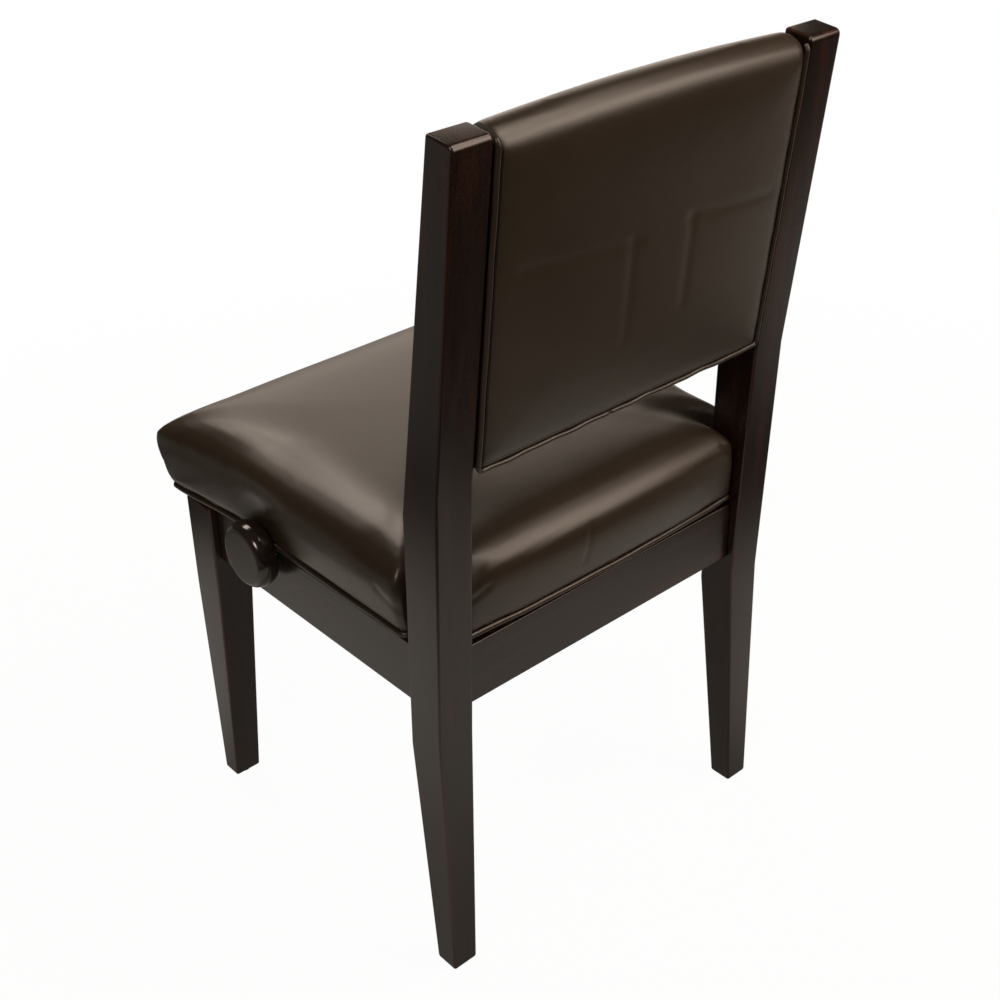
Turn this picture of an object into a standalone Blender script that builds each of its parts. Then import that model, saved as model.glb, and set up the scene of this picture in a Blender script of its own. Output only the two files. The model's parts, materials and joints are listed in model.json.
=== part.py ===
"""Piano chair: a hardwood frame with an upholstered back, and a seat on a screw-driven scissor lift.

Metres, +Z up. The sitter faces -Y and the sitter's left hand is at +X. The origin is on the floor, in the
middle of the chair's box. The chair is drawn with its seat at the lowest setting.
"""

import math

import bmesh
import bpy
from mathutils import Matrix, Vector

# Clearances
GAP = 0.0003            # between pieces that touch
OPEN_PIVOT = 0.0011     # round the pivots that the lift's linear coupling leaves open
EASE = 0.0025           # rounding of the wooden edges

# Frame
WIDTH = 0.460           # over the rear posts and the front legs
DEPTH = 0.4249          # from the front legs to the rear posts' knee
GLIDE_HEIGHT = 0.0025
GLIDE_RADIUS = 0.009

# Rear posts: seen from the side, the back edge and the front edge as (y, z)
POST_WIDTH = 0.0420
POST_FOOT_WIDTH = 0.030
POST_FOOT_BACK = 0.2150
POST_FOOT_DEPTH = 0.0276
POST_KNEE_BACK = (0.2051, 0.2995)
POST_KNEE_FRONT = (0.1612, 0.2785)
POST_BEND_BACK = (0.2139, 0.5770)
POST_BEND_FRONT = (0.1646, 0.5425)
POST_TOP_BACK = (0.2487, 0.8996)
POST_TOP_DEPTH = 0.0316
POST_TOP_ROUND = 0.006

# Front legs
LEG_SIZE = 0.0445
LEG_TAPER_START = 0.2775
LEG_FOOT_WIDTH = 0.0323
LEG_FOOT_DEPTH = 0.0248
LEG_FOOT_INSET = (0.003, 0.0023)

# Aprons
APRON_TOP = 0.3906
APRON_HEIGHT = 0.0678
APRON_THICK = 0.020
APRON_RECESS = 0.009
BLOCK_REACH = 0.038
BLOCK_HEIGHT = 0.045
BLOCK_DROP = 0.010

# Back
BACK_BOTTOM = 0.5875
BACK_LENGTH = 0.3140
BACK_SIDE_GAP = 0.0034
BACK_SETBACK = -0.001
BACK_CROWN_REAR = 0.006
BACK_CROWN_FRONT = 0.003
BACK_TOP_ARCH = 0.0063
BACK_ROLL = 0.024       # radius of the panel's rolled top
BACK_ROLL_OUT = -0.021  # the roll's middle, from the posts' back edge
BACK_EDGE = 0.006
BACK_BOARD_THICK = 0.012
BACK_BOARD_INSET = 0.012
BACK_PIPING_RADIUS = 0.0026
BACK_PIPING_SINK = 0.0014
DOWEL_RADIUS = 0.005
DOWEL_LENGTH = 0.050
DOWEL_SHARES = (0.22, 0.76)  # of the back's length, above its bottom

# Seat
SEAT_OVERHANG = 0.0165
SEAT_REAR_INSET = 0.0086
SEAT_REAR_BOW = 0.006
SEAT_INSET = 0.0030
SEAT_FLARE = 0.0095
SEAT_FLARE_GROWTH = 0.004
SEAT_DENT = 0.010
SEAT_DENT_REACH = 0.056
SEAT_TONGUE_GAP = 0.0010
SEAT_POST_GAP = 0.0075
SEAT_CORNER = 0.006
SEAT_NOTCH_CORNER = 0.010
SEAT_TONGUE_CORNER = 0.003
SEAT_REST_GAP = 0.0065
SEAT_BULGE_FRONT = 0.0145
SEAT_BULGE_SIDE = 0.010
SEAT_BULGE_REAR = 0.004
SEAT_BAND_HEIGHT = 0.036
SEAT_BAND_LEVEL = 0.75
SEAT_BULGE_HEIGHT = 0.062
SEAT_SHOULDER_HEIGHT = 0.084
SEAT_CROWN_HEIGHT = 0.0945
SEAT_CORNER_DROP = 0.008
SEAT_PIPING_RADIUS = 0.0032
SEAT_BOARD_GAP = 0.0084
SEAT_BOARD_THICK = 0.012
SEAT_SKIRT = 0.007

# Lift: two scissors on steel rails, driven by a screw across the chair
LIFT = 0.080
LIFT_SLACK = 0.0006     # left in the arms' swing at the top of the lift
LIFT_FRONT_INSET = 0.0918
LIFT_REAR_INSET = 0.0492
LIFT_PIVOT_X = 0.130
LIFT_DROP = 0.0135      # from the seat board down to the upper pivots
LIFT_CLOSED = 0.0375    # from the upper pivots down to the lower ones, with the seat down
ARM_LENGTH = 0.260
ARM_WIDTH = 0.017
ARM_THICK = 0.004
ARM_SPACE = 0.001
PIN_RADIUS = 0.004
ROD_RADIUS = 0.0045
TIE_RADIUS = 0.004
TIE_PLACE = 0.045
RAIL_THICK = 0.003
RAIL_HEIGHT = 0.028
RAIL_FLANGE = 0.018
RAIL_TAB = 0.024
SLOT_SPARE = 0.004

# Screw and knobs
SCREW_INSET = 0.1398
SCREW_DROP = 0.0125
SCREW_RADIUS = 0.0045
NOTCH_WIDTH = 0.014
BEARING_SIZE = (0.010, 0.030, 0.042)
BEARING_RISE = 0.009
COLLAR_RADIUS = 0.009
COLLAR_LENGTH = 0.009
NUT_RADIUS = 0.0095
NUT_WIDTH = 0.022
NUT_LENGTH = 0.018
KNOB_STANDOFF = 0.0075
KNOB_HUB_RADIUS = 0.0095
KNOB_HUB_GAP = 0.001
KNOB_DEPTH = 0.024
KNOB_RADIUS = 0.0367
KNOB_FACE_RADIUS = 0.0318
KNOB_REAR_RADIUS = 0.032
KNOB_BELLY = 0.0115
KNOB_SOCKET = 0.012
KNOB_CLEAR = 0.0015

# Places that follow from the sizes above
HALF = WIDTH / 2
POST_INNER = HALF - POST_WIDTH
LEG_FRONT = POST_KNEE_BACK[0] - DEPTH
LEG_INNER = HALF - LEG_SIZE
LEG_BACK = LEG_FRONT + LEG_SIZE
SEAT_FRONT = LEG_FRONT - SEAT_OVERHANG
SEAT_REAR = POST_KNEE_BACK[0] - SEAT_REAR_INSET
SEAT_MIDDLE = (0, (SEAT_FRONT + SEAT_REAR) / 2)
SEAT_SEAM = APRON_TOP + SEAT_REST_GAP + 2 * SEAT_PIPING_RADIUS + GAP
SEAT_BOARD_BOTTOM = APRON_TOP + SEAT_BOARD_GAP
LIFT_FRONT = LEG_FRONT + LIFT_FRONT_INSET
LIFT_REAR = POST_KNEE_FRONT[0] - LIFT_REAR_INSET
LIFT_HIGH = SEAT_BOARD_BOTTOM - LIFT_DROP
LIFT_LOW = LIFT_HIGH - LIFT_CLOSED
SCREW_Y = LEG_FRONT + SCREW_INSET
SCREW_Z = SEAT_BOARD_BOTTOM - SCREW_DROP
APRON_BOTTOM = APRON_TOP - APRON_HEIGHT
SIDE_OUTER = HALF - APRON_RECESS
SIDE_INNER = SIDE_OUTER - APRON_THICK
FRONT_INNER = LEG_FRONT + APRON_RECESS + APRON_THICK
START_ANGLE = math.asin((LIFT_HIGH - LIFT_LOW) / ARM_LENGTH)
END_ANGLE = math.asin((LIFT_HIGH - LIFT_LOW + LIFT - LIFT_SLACK) / ARM_LENGTH)
SLIDE_X = LIFT_PIVOT_X - ARM_LENGTH * math.cos(START_ANGLE)
SLIDE_TRAVEL = ARM_LENGTH * (math.cos(START_ANGLE) - math.cos(END_ANGLE))
KNOB_BACK = SIDE_OUTER + KNOB_STANDOFF


def between(start, end, height):
    """The y on the straight line from start to end, both (y, z), at this height."""
    share = (height - start[1]) / (end[1] - start[1])
    return start[0] + share * (end[0] - start[0])


POST_BACK_AT_APRON = between(POST_KNEE_BACK, POST_BEND_BACK, APRON_BOTTOM)
POST_FRONT_AT_APRON = between(POST_KNEE_FRONT, POST_BEND_FRONT, APRON_BOTTOM)
REAR_OUTER = POST_BACK_AT_APRON - APRON_RECESS
REAR_INNER = REAR_OUTER - APRON_THICK
RAKE = math.atan2(POST_TOP_BACK[0] - POST_BEND_BACK[0], POST_TOP_BACK[1] - POST_BEND_BACK[1])


# Scene, materials and small tools

for old in list(bpy.data.objects):
    bpy.data.objects.remove(old, do_unlink=True)

parts = bpy.data.collections.new("piano_chair")
cutters = bpy.data.collections.new("cutters")
bpy.context.scene.collection.children.link(parts)
bpy.context.scene.collection.children.link(cutters)


def material(name, colour, roughness, metallic=0.0):
    made = bpy.data.materials.new(name)
    made.use_nodes = True
    shader = made.node_tree.nodes["Principled BSDF"]
    shader.inputs["Base Color"].default_value = (*colour, 1)
    shader.inputs["Roughness"].default_value = roughness
    shader.inputs["Metallic"].default_value = metallic
    return made


WOOD = material("espresso_wood", (0.020, 0.014, 0.011), 0.35)
RAW_WOOD = material("plywood", (0.42, 0.29, 0.17), 0.7)
VINYL = material("brown_vinyl", (0.030, 0.022, 0.016), 0.4)
STEEL = material("black_steel", (0.03, 0.03, 0.032), 0.45, 0.6)
ZINC = material("zinc_steel", (0.55, 0.55, 0.53), 0.3, 1.0)
KNOB_PLASTIC = material("black_knob", (0.010, 0.008, 0.007), 0.2)
NYLON = material("nylon", (0.05, 0.05, 0.05), 0.6)


def add(name, mesh, finish, collection=parts):
    obj = bpy.data.objects.new(name, mesh)
    collection.objects.link(obj)
    if finish:
        mesh.materials.append(finish)
    else:
        obj.hide_render = True
        obj.display_type = "WIRE"
    return obj


def mesh_from(shape, name):
    """A mesh from a bmesh, with its faces pointing outwards and its flat corners kept sharp."""
    bmesh.ops.recalc_face_normals(shape, faces=shape.faces)
    mesh = bpy.data.meshes.new(name)
    shape.to_mesh(mesh)
    shape.free()
    mesh.shade_smooth()
    mesh.set_sharp_from_angle(angle=math.radians(35))
    return mesh


def ease(obj, width=EASE, segments=2):
    bevel = obj.modifiers.new("eased_edges", "BEVEL")
    bevel.width = width
    bevel.segments = segments
    bevel.limit_method = "ANGLE"
    return obj


def round_edge(obj, place, radius):
    """Rounds the one edge that runs across the chair through this (y, z)."""
    shape = bmesh.new()
    shape.from_mesh(obj.data)
    ends = [vertex for vertex in shape.verts if (Vector(vertex.co.yz) - Vector(place)).length < GAP]
    edge = shape.edges.get(ends)
    bmesh.ops.bevel(shape, geom=[edge], offset=radius, segments=4, profile=0.5, affect="EDGES")
    shape.to_mesh(obj.data)
    shape.free()
    return obj


def box(name, low, high, finish):
    shape = bmesh.new()
    bmesh.ops.create_cube(shape, size=1)
    size = Vector(high) - Vector(low)
    bmesh.ops.scale(shape, vec=size, verts=shape.verts)
    obj = add(name, mesh_from(shape, name), finish, parts if finish else cutters)
    obj.location = (Vector(low) + Vector(high)) / 2
    return obj


def rod(name, start, end, radius, finish, sides=20):
    """A round bar from start to end, with its origin at start."""
    start = Vector(start)
    along = Vector(end) - start
    shape = bmesh.new()
    bmesh.ops.create_cone(
        shape, cap_ends=True, segments=sides, radius1=radius, radius2=radius, depth=along.length
    )
    turn = along.to_track_quat("Z", "Y").to_matrix().to_4x4()
    turn = turn @ Matrix.Translation((0, 0, along.length / 2))
    bmesh.ops.transform(shape, matrix=turn, verts=shape.verts)
    obj = add(name, mesh_from(shape, name), finish, parts if finish else cutters)
    obj.location = start
    return obj


def slab(name, outline, low, high, finish):
    """An outline in XY, extruded from low to high along Z."""
    shape = bmesh.new()
    face = shape.faces.new([shape.verts.new((x, y, low)) for x, y in outline])
    made = bmesh.ops.extrude_face_region(shape, geom=[face])
    raised = [item for item in made["geom"] if isinstance(item, bmesh.types.BMVert)]
    bmesh.ops.translate(shape, vec=(0, 0, high - low), verts=raised)
    return add(name, mesh_from(shape, name), finish, parts if finish else cutters)


def loft(name, rings, finish):
    """A closed skin through rings of equal count, capped at both ends."""
    shape = bmesh.new()
    loops = [[shape.verts.new(point) for point in ring] for ring in rings]
    for below, above in zip(loops, loops[1:]):
        for i in range(len(below)):
            j = (i + 1) % len(below)
            shape.faces.new((below[i], below[j], above[j], above[i]))
    shape.faces.new(loops[0])
    shape.faces.new(loops[-1])
    return add(name, mesh_from(shape, name), finish)


def turned(name, profile, finish, steps=32):
    """A profile of (radius, height), from the top down, turned about Z."""
    shape = bmesh.new()
    points = [shape.verts.new((radius, 0, height)) for radius, height in profile]
    for upper, lower in zip(points, points[1:]):
        shape.edges.new((upper, lower))
    mesh = bpy.data.meshes.new(name)
    shape.to_mesh(mesh)
    shape.free()
    obj = add(name, mesh, finish)
    screw = obj.modifiers.new("turned", "SCREW")
    screw.steps = steps
    screw.render_steps = steps
    screw.use_merge_vertices = True
    screw.merge_threshold = 0.00001
    screw.use_smooth_shade = True
    return obj


def tube(name, points, radius, finish, closed=False, resolution=2):
    """A round tube along points."""
    curve = bpy.data.curves.new(name, "CURVE")
    curve.dimensions = "3D"
    curve.bevel_depth = radius
    curve.bevel_resolution = resolution
    curve.use_fill_caps = True
    spline = curve.splines.new("POLY")
    spline.points.add(len(points) - 1)
    for place, point in zip(spline.points, points):
        place.co = (*point, 1)
    spline.use_cyclic_u = closed
    return add(name, curve, finish)


def boolean(obj, other, operation):
    step = obj.modifiers.new(f"{operation.lower()}_{other.name}", "BOOLEAN")
    step.operation = operation
    step.object = other
    return obj


def cut(obj, *others):
    for other in others:
        boolean(obj, other, "DIFFERENCE")
    return obj


def join(obj, *others):
    for other in others:
        boolean(obj, other, "UNION")
    return obj


def arc(centre, radius, start, end, count):
    """Points on a circle, from one angle in degrees to another."""
    angles = [math.radians(start + (end - start) * i / (count - 1)) for i in range(count)]
    return [(centre[0] + radius * math.cos(a), centre[1] + radius * math.sin(a)) for a in angles]


SIDES = (("left", 1), ("right", -1))


# Posts, legs, aprons and what holds them square

def rear_post(side, sign):
    """A post that sweeps back below the seat and above it, tapered to its foot and to its top."""
    top_y = POST_TOP_BACK[0] - POST_TOP_DEPTH * math.cos(RAKE)
    top_z = POST_TOP_BACK[1] + POST_TOP_DEPTH * math.sin(RAKE)
    foot = GLIDE_HEIGHT + GAP
    stations = (
        ((POST_FOOT_BACK, foot), (POST_FOOT_BACK - POST_FOOT_DEPTH, foot), POST_FOOT_WIDTH),
        (POST_KNEE_BACK, POST_KNEE_FRONT, POST_WIDTH),
        (POST_BEND_BACK, POST_BEND_FRONT, POST_WIDTH),
        (POST_TOP_BACK, (top_y, top_z), POST_WIDTH),
    )
    rings = []
    for back, front, width in stations:
        inner = HALF - width
        rings.append([
            (sign * HALF, *front), (sign * HALF, *back), (sign * inner, *back), (sign * inner, *front)
        ])
    return ease(round_edge(loft(f"rear_post_{side}", rings, WOOD), POST_TOP_BACK, POST_TOP_ROUND))


def front_leg(side, sign):
    """A square leg, tapered below the apron to a small foot."""
    foot = GLIDE_HEIGHT + GAP
    outer = HALF - LEG_FOOT_INSET[0]
    front = LEG_FRONT + LEG_FOOT_INSET[1]
    stations = (
        (foot, outer - LEG_FOOT_WIDTH, outer, front, front + LEG_FOOT_DEPTH),
        (LEG_TAPER_START, LEG_INNER, HALF, LEG_FRONT, LEG_BACK),
        (APRON_TOP, LEG_INNER, HALF, LEG_FRONT, LEG_BACK),
    )
    rings = []
    for z, inner, out, fore, aft in stations:
        ring = [(out, fore), (out, aft), (inner, aft), (inner, fore)]
        rings.append([(sign * x, y, z) for x, y in ring])
    return ease(loft(f"front_leg_{side}", rings, WOOD))


def foot_glide(name, x, y):
    rod(name, (x, y, 0), (x, y, GLIDE_HEIGHT), GLIDE_RADIUS, NYLON)


def side_apron(side, sign):
    """A rail between leg and post, notched at its top edge for the lift's screw."""
    xs = sorted((sign * SIDE_INNER, sign * SIDE_OUTER))
    rail = box(
        f"side_apron_{side}",
        (xs[0], LEG_BACK + GAP, APRON_BOTTOM),
        (xs[1], POST_FRONT_AT_APRON - GAP, APRON_TOP),
        WOOD,
    )
    ease(rail, EASE * 0.6)
    reach = NOTCH_WIDTH / 2
    middle = SCREW_Z
    notch = rod(
        f"notch_{side}", (xs[0] - EASE, SCREW_Y, middle), (xs[1] + EASE, SCREW_Y, middle), reach, None
    )
    mouth = box(
        f"notch_mouth_{side}",
        (xs[0] - EASE, SCREW_Y - reach * 0.98, middle),
        (xs[1] + EASE, SCREW_Y + reach * 0.98, APRON_TOP + EASE),
        None,
    )
    cut(rail, join(notch, mouth))


def corner_block(name, sign, leg_x, apron_y, leg_y, step):
    """A glue block in a corner of the frame, cut to fit round the leg.

    step is +1 at the front, -1 at the rear.
    """
    fore = apron_y + step * GAP
    aft = leg_y + step * GAP
    side = SIDE_INNER - GAP
    inner = leg_x - GAP
    outline = [
        (inner - BLOCK_REACH, fore),
        (inner, fore),
        (inner, aft),
        (side, aft),
        (side, aft + step * BLOCK_REACH),
    ]
    top = APRON_TOP - BLOCK_DROP
    slab(name, [(sign * x, y) for x, y in outline], top - BLOCK_HEIGHT, top, RAW_WOOD)


def wooden_frame():
    front = LEG_FRONT + APRON_RECESS
    low, high = APRON_BOTTOM, APRON_TOP
    reach = LEG_INNER - GAP
    ease(box("front_apron", (-reach, front, low), (reach, FRONT_INNER, high), WOOD), EASE * 0.6)
    reach = POST_INNER - GAP
    ease(box("rear_apron", (-reach, REAR_INNER, low), (reach, REAR_OUTER, high), WOOD), EASE * 0.6)
    leg_middle = HALF - LEG_FOOT_INSET[0] - LEG_FOOT_WIDTH / 2
    post_middle = HALF - POST_FOOT_WIDTH / 2
    for side, sign in SIDES:
        rear_post(side, sign)
        front_leg(side, sign)
        side_apron(side, sign)
        leg_y = LEG_FRONT + LEG_FOOT_INSET[1] + LEG_FOOT_DEPTH / 2
        foot_glide(f"foot_glide_front_{side}", sign * leg_middle, leg_y)
        foot_glide(f"foot_glide_rear_{side}", sign * post_middle, POST_FOOT_BACK - POST_FOOT_DEPTH / 2)
        corner_block(f"corner_block_front_{side}", sign, LEG_INNER, FRONT_INNER, LEG_BACK, 1)
        corner_block(f"corner_block_rear_{side}", sign, POST_INNER, REAR_INNER, POST_FRONT_AT_APRON, -1)


# Soft forms

def padded_form(name, rings, finish, seam=None):
    """A soft closed form: rings of equal count, smoothed once. The ring numbered seam stays sharp."""
    obj = loft(name, rings, finish)
    if seam is not None:
        count = len(rings[0])
        kept = range(seam * count, (seam + 1) * count)
        crease = obj.data.attributes.new("crease_edge", "FLOAT", "EDGE")
        for edge in obj.data.edges:
            if all(vertex in kept for vertex in edge.vertices):
                crease.data[edge.index].value = 1.0
    smooth = obj.modifiers.new("soft", "SUBSURF")
    smooth.levels = 1
    smooth.render_levels = 1
    return obj


def run(start, end, count):
    """Points inside the straight run from start to end."""
    made = [Vector(start).lerp(Vector(end), (i + 1) / (count + 1)) for i in range(count)]
    return [(point.x, point.y) for point in made]


def linked(pieces, counts):
    """Pieces of an outline, with points added on the straight runs between them."""
    made = list(pieces[0])
    for piece, count in zip(pieces[1:], counts):
        made += run(made[-1], piece[0], count) + list(piece)
    return made


def mirrored(half):
    """The whole outline from its half on +X, whose first and last points lie in the middle."""
    return half + [(-x, y) for x, y in reversed(half[1:-1])]


# Seat

def seat_outline(level, inset=0.0, fine=1, dent=0.0):
    """The seat's plan, anticlockwise from the middle of its front, notched round the rear posts.

    level is 0 at the seam and 1 where the cushion is widest. dent is how far its sides are pressed in
    behind the knobs.
    """
    wide = HALF - SEAT_INSET + level * SEAT_BULGE_SIDE - inset
    corner = wide + SEAT_FLARE + level * SEAT_FLARE_GROWTH
    tongue = POST_INNER - SEAT_TONGUE_GAP - inset
    front = SEAT_FRONT - level * SEAT_BULGE_FRONT + inset
    notch = between(POST_KNEE_FRONT, POST_BEND_FRONT, SEAT_SEAM) - SEAT_POST_GAP - inset
    rear = SEAT_REAR + level * SEAT_BULGE_REAR - inset
    bow = SEAT_REAR_BOW + level * SEAT_BULGE_REAR
    big, small, tight = SEAT_CORNER, SEAT_NOTCH_CORNER, SEAT_TONGUE_CORNER
    inside = small * 0.3
    reach = SEAT_DENT_REACH
    beside_knob = [
        (wide, SCREW_Y - reach),
        (wide - dent, SCREW_Y - reach * 0.4),
        (wide - dent, SCREW_Y + reach * 0.4),
        (wide, SCREW_Y + reach),
    ]
    return mirrored(linked(
        [
            [(0, front)],
            arc((corner - big, front + big), big, -90, 0, 1 + 3 * fine),
            beside_knob,
            arc((wide - small, notch - small), small, 0, 90, 1 + 2 * fine),
            [(tongue + inside, notch), (tongue, notch + inside)],
            arc((tongue - tight, rear - tight), tight, 0, 90, 1 + 2 * fine),
            [(0, rear + bow)],
        ],
        [2, 1, 2, 1, 1, 2],
    ))


def seat_ring(level, share, height, dent=0.0, drop=0.0):
    """One ring of the cushion: the seat's plan, drawn in towards its middle and lowered at its corners."""
    middle = Vector(SEAT_MIDDLE)
    made = []
    for point in seat_outline(level, dent=dent):
        away = (Vector(point) - middle) * share
        corner = (away.x / HALF * away.y / (SEAT_FRONT - middle.y)) ** 4
        made.append((middle.x + away.x, middle.y + away.y, SEAT_SEAM + height - drop * corner))
    return made


def seat_piping_path():
    drop = SEAT_SEAM - GAP - SEAT_PIPING_RADIUS
    return [(x, y, drop) for x, y in seat_outline(0, SEAT_PIPING_RADIUS, fine=2)]


def seat():
    slope = SEAT_SHOULDER_HEIGHT * 0.3 + SEAT_CROWN_HEIGHT * 0.7
    cushion = padded_form(
        "seat_cushion",
        [
            seat_ring(0, 0.95, 0),
            seat_ring(0, 1.0, 0),
            seat_ring(SEAT_BAND_LEVEL, 1.0, SEAT_BAND_HEIGHT, SEAT_DENT),
            seat_ring(1, 1.0, SEAT_BULGE_HEIGHT, SEAT_DENT / 4),
            seat_ring(1, 0.94, SEAT_SHOULDER_HEIGHT, 0, SEAT_CORNER_DROP),
            seat_ring(1, 0.78, slope),
            seat_ring(1, 0.42, SEAT_CROWN_HEIGHT),
        ],
        VINYL,
        seam=1,
    )
    top = SEAT_BOARD_BOTTOM + SEAT_BOARD_THICK
    slab("seat_board", seat_outline(0, SEAT_SKIRT), SEAT_BOARD_BOTTOM, top, RAW_WOOD)
    rebate = slab("board_rebate", seat_outline(0, SEAT_SKIRT - GAP), SEAT_SEAM - EASE, top + GAP, None)
    cut(cushion, rebate)
    for side, sign in SIDES:
        start = (sign * (KNOB_BACK - KNOB_CLEAR), SCREW_Y, SCREW_Z)
        end = (sign * (KNOB_BACK + KNOB_DEPTH), SCREW_Y, SCREW_Z)
        cut(cushion, rod(f"knob_room_{side}", start, end, KNOB_RADIUS + KNOB_CLEAR, None, 40))
    tube("seat_piping", seat_piping_path(), SEAT_PIPING_RADIUS, VINYL, closed=True, resolution=1)


# Back

def back_place(x, out, up):
    """A point on the back: across, out from the posts' back edge, and up along the rake."""
    base = between(POST_BEND_BACK, POST_TOP_BACK, BACK_BOTTOM)
    turn = Matrix.Rotation(-RAKE, 3, "X")
    return Vector((0, base, BACK_BOTTOM)) + turn @ Vector((x, out - BACK_SETBACK, up))


BACK_HALF = POST_INNER - BACK_SIDE_GAP


def back_outline(inset, top_drop):
    """The back panel's outline, anticlockwise from the middle of its bottom edge, as (across, up)."""
    wide = BACK_HALF - inset
    low = inset
    high = BACK_LENGTH - top_drop
    corner = BACK_EDGE
    return mirrored(linked(
        [
            [(0, low)],
            arc((wide - corner, low + corner), corner, -90, 0, 3),
            arc((wide - corner, high - corner), corner, 0, 90, 3),
            [(0, high + BACK_TOP_ARCH)],
        ],
        [3, 4, 3],
    ))


def back_ring(inset, top_drop, out, share=1.0):
    middle = Vector((0, BACK_LENGTH / 2))
    made = []
    for point in back_outline(inset, top_drop):
        drawn = middle + (Vector(point) - middle) * share
        made.append(back_place(drawn.x, out, drawn.y))
    return made


def back():
    roll = BACK_ROLL
    middle = BACK_ROLL_OUT
    edge = BACK_EDGE
    cushion = padded_form(
        "back_cushion",
        [
            back_ring(edge, roll, BACK_CROWN_REAR, 0.5),
            back_ring(edge, roll, BACK_CROWN_REAR * 0.5, 0.88),
            back_ring(edge * 0.8, roll * 0.5, 0),
            back_ring(0, roll * 0.22, -edge * 0.8),
            back_ring(0, -roll * 0.04, middle),
            back_ring(0, roll * 0.15, middle - roll * 0.6),
            back_ring(edge, roll * 0.55, middle - roll),
            back_ring(edge * 1.5, roll, middle - roll - BACK_CROWN_FRONT, 0.62),
        ],
        VINYL,
    )
    wide = BACK_HALF - BACK_BOARD_INSET
    depth = BACK_BOARD_THICK
    board = box(
        "back_board",
        (-wide, -depth / 2, EASE),
        (wide, depth / 2, BACK_LENGTH - BACK_BOARD_INSET - BACK_ROLL),
        RAW_WOOD,
    )
    board_room = box(
        "board_room",
        (-wide - GAP, -depth / 2 - GAP, -3 * edge),
        (wide + GAP, depth / 2 + GAP, BACK_LENGTH - BACK_BOARD_INSET - BACK_ROLL + GAP),
        None,
    )
    middle_out = BACK_ROLL_OUT
    for piece in (board, board_room):
        offset = piece.location.copy()
        piece.data.transform(Matrix.Translation(offset))
        piece.location = back_place(0, middle_out, 0)
        piece.rotation_euler = (-RAKE, 0, 0)
    cut(cushion, board_room)
    for side, sign in SIDES:
        post = bpy.data.objects[f"rear_post_{side}"]
        for level, share in zip(("lower", "upper"), DOWEL_SHARES):
            start = back_place(sign * (wide - DOWEL_LENGTH * 0.4), middle_out, share * BACK_LENGTH)
            end = start + Vector((sign * DOWEL_LENGTH, 0, 0))
            more = Vector((sign * GAP, 0, 0))
            rod(f"back_dowel_{level}_{side}", start, end, DOWEL_RADIUS, RAW_WOOD, 16)
            room = DOWEL_RADIUS + GAP
            hole = rod(f"dowel_hole_{level}_{side}", start - more, end + more, room, None, 16)
            for piece in (board, cushion, post):
                cut(piece, hole)
    path = back_piping_path()
    tube("back_piping", path, BACK_PIPING_RADIUS, VINYL, resolution=1)


def back_piping_path():
    """Down one edge of the back's rear face, along its bottom and up the other, ends turned over the top."""
    wide = BACK_HALF + GAP - BACK_PIPING_SINK
    out = BACK_PIPING_RADIUS * 0.4 - BACK_PIPING_SINK
    low = BACK_PIPING_SINK
    high = BACK_LENGTH - BACK_ROLL * 0.55
    corner = BACK_EDGE
    turn = BACK_ROLL / 3
    half = []
    for i in range(3, 0, -1):
        a = math.radians(18 * i)
        half.append(back_place(wide, out - turn * (1 - math.cos(a)), high + turn * math.sin(a)))
    flat = [(wide, high)] + run((wide, high), (wide, low + corner), 6)
    flat += arc((wide - corner, low + corner), corner, 0, -90, 5)
    flat += run((wide - corner, low), (0, low), 6)
    half += [back_place(x, out, up) for x, up in flat]
    other = [Vector((-p.x, p.y, p.z)) for p in reversed(half)]
    return half + [back_place(0, out, low)] + other


# Lift

LIFT_ENDS = (("front", LIFT_FRONT, 1), ("rear", LIFT_REAR, -1))


def slot_cutter(name, y, x, z, length, radius):
    """A round-ended slot along X, cut through in Y."""
    reach = 2 * RAIL_THICK
    ends = arc((x, z), radius, 90, 270, 9) + arc((x + length, z), radius, -90, 90, 9)
    cutter = slab(name, [(px, -pz) for px, pz in ends], -reach, reach, None)
    cutter.rotation_euler = (-math.pi / 2, 0, 0)
    cutter.location = (0, y, 0)
    return cutter


def bar(name, y, start, end, holes, finish):
    """A flat bar with round ends from one (x, z) to another, in the plane at y. Holes are (x, z, radius)."""
    start, end = Vector(start), Vector(end)
    along = (end - start).normalized()
    heading = math.degrees(math.atan2(along.y, along.x))
    outline = arc(end, ARM_WIDTH / 2, heading - 90, heading + 90, 9)
    outline += arc(start, ARM_WIDTH / 2, heading + 90, heading + 270, 9)
    obj = slab(name, [(x, -z) for x, z in outline], -ARM_THICK / 2, ARM_THICK / 2, finish)
    obj.rotation_euler = (-math.pi / 2, 0, 0)
    obj.location = (0, y, 0)
    for i, (x, z, radius) in enumerate(holes):
        reach = ARM_THICK
        cut(obj, rod(f"{name}_hole_{i}", (x, y - reach, z), (x, y + reach, z), radius, None))
    return obj


def rail(name, y, low, out, flange_up, tabs):
    """A steel angle along X. out is its flange's side, and tabs close its ends against the aprons."""
    reach = SIDE_INNER - GAP if tabs else LIFT_PIVOT_X + ARM_WIDTH
    half = RAIL_THICK / 2
    high = low + RAIL_HEIGHT
    web = box(name, (-reach, y - half, low), (reach, y + half, high), STEEL)
    ys = sorted((y - out * half, y + out * RAIL_FLANGE))
    zs = (high - RAIL_THICK, high) if flange_up else (low, low + RAIL_THICK)
    pieces = [box(f"{name}_flange", (-reach, ys[0], zs[0]), (reach, ys[1], zs[1]), None)]
    for side, sign in SIDES:
        if not tabs:
            continue
        xs = sorted((sign * reach, sign * (reach - RAIL_THICK)))
        ys = sorted((y - out * half, y + out * RAIL_TAB))
        pieces.append(box(f"{name}_tab_{side}", (xs[0], ys[0], low), (xs[1], ys[1], high), None))
    return join(web, *pieces)


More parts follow.
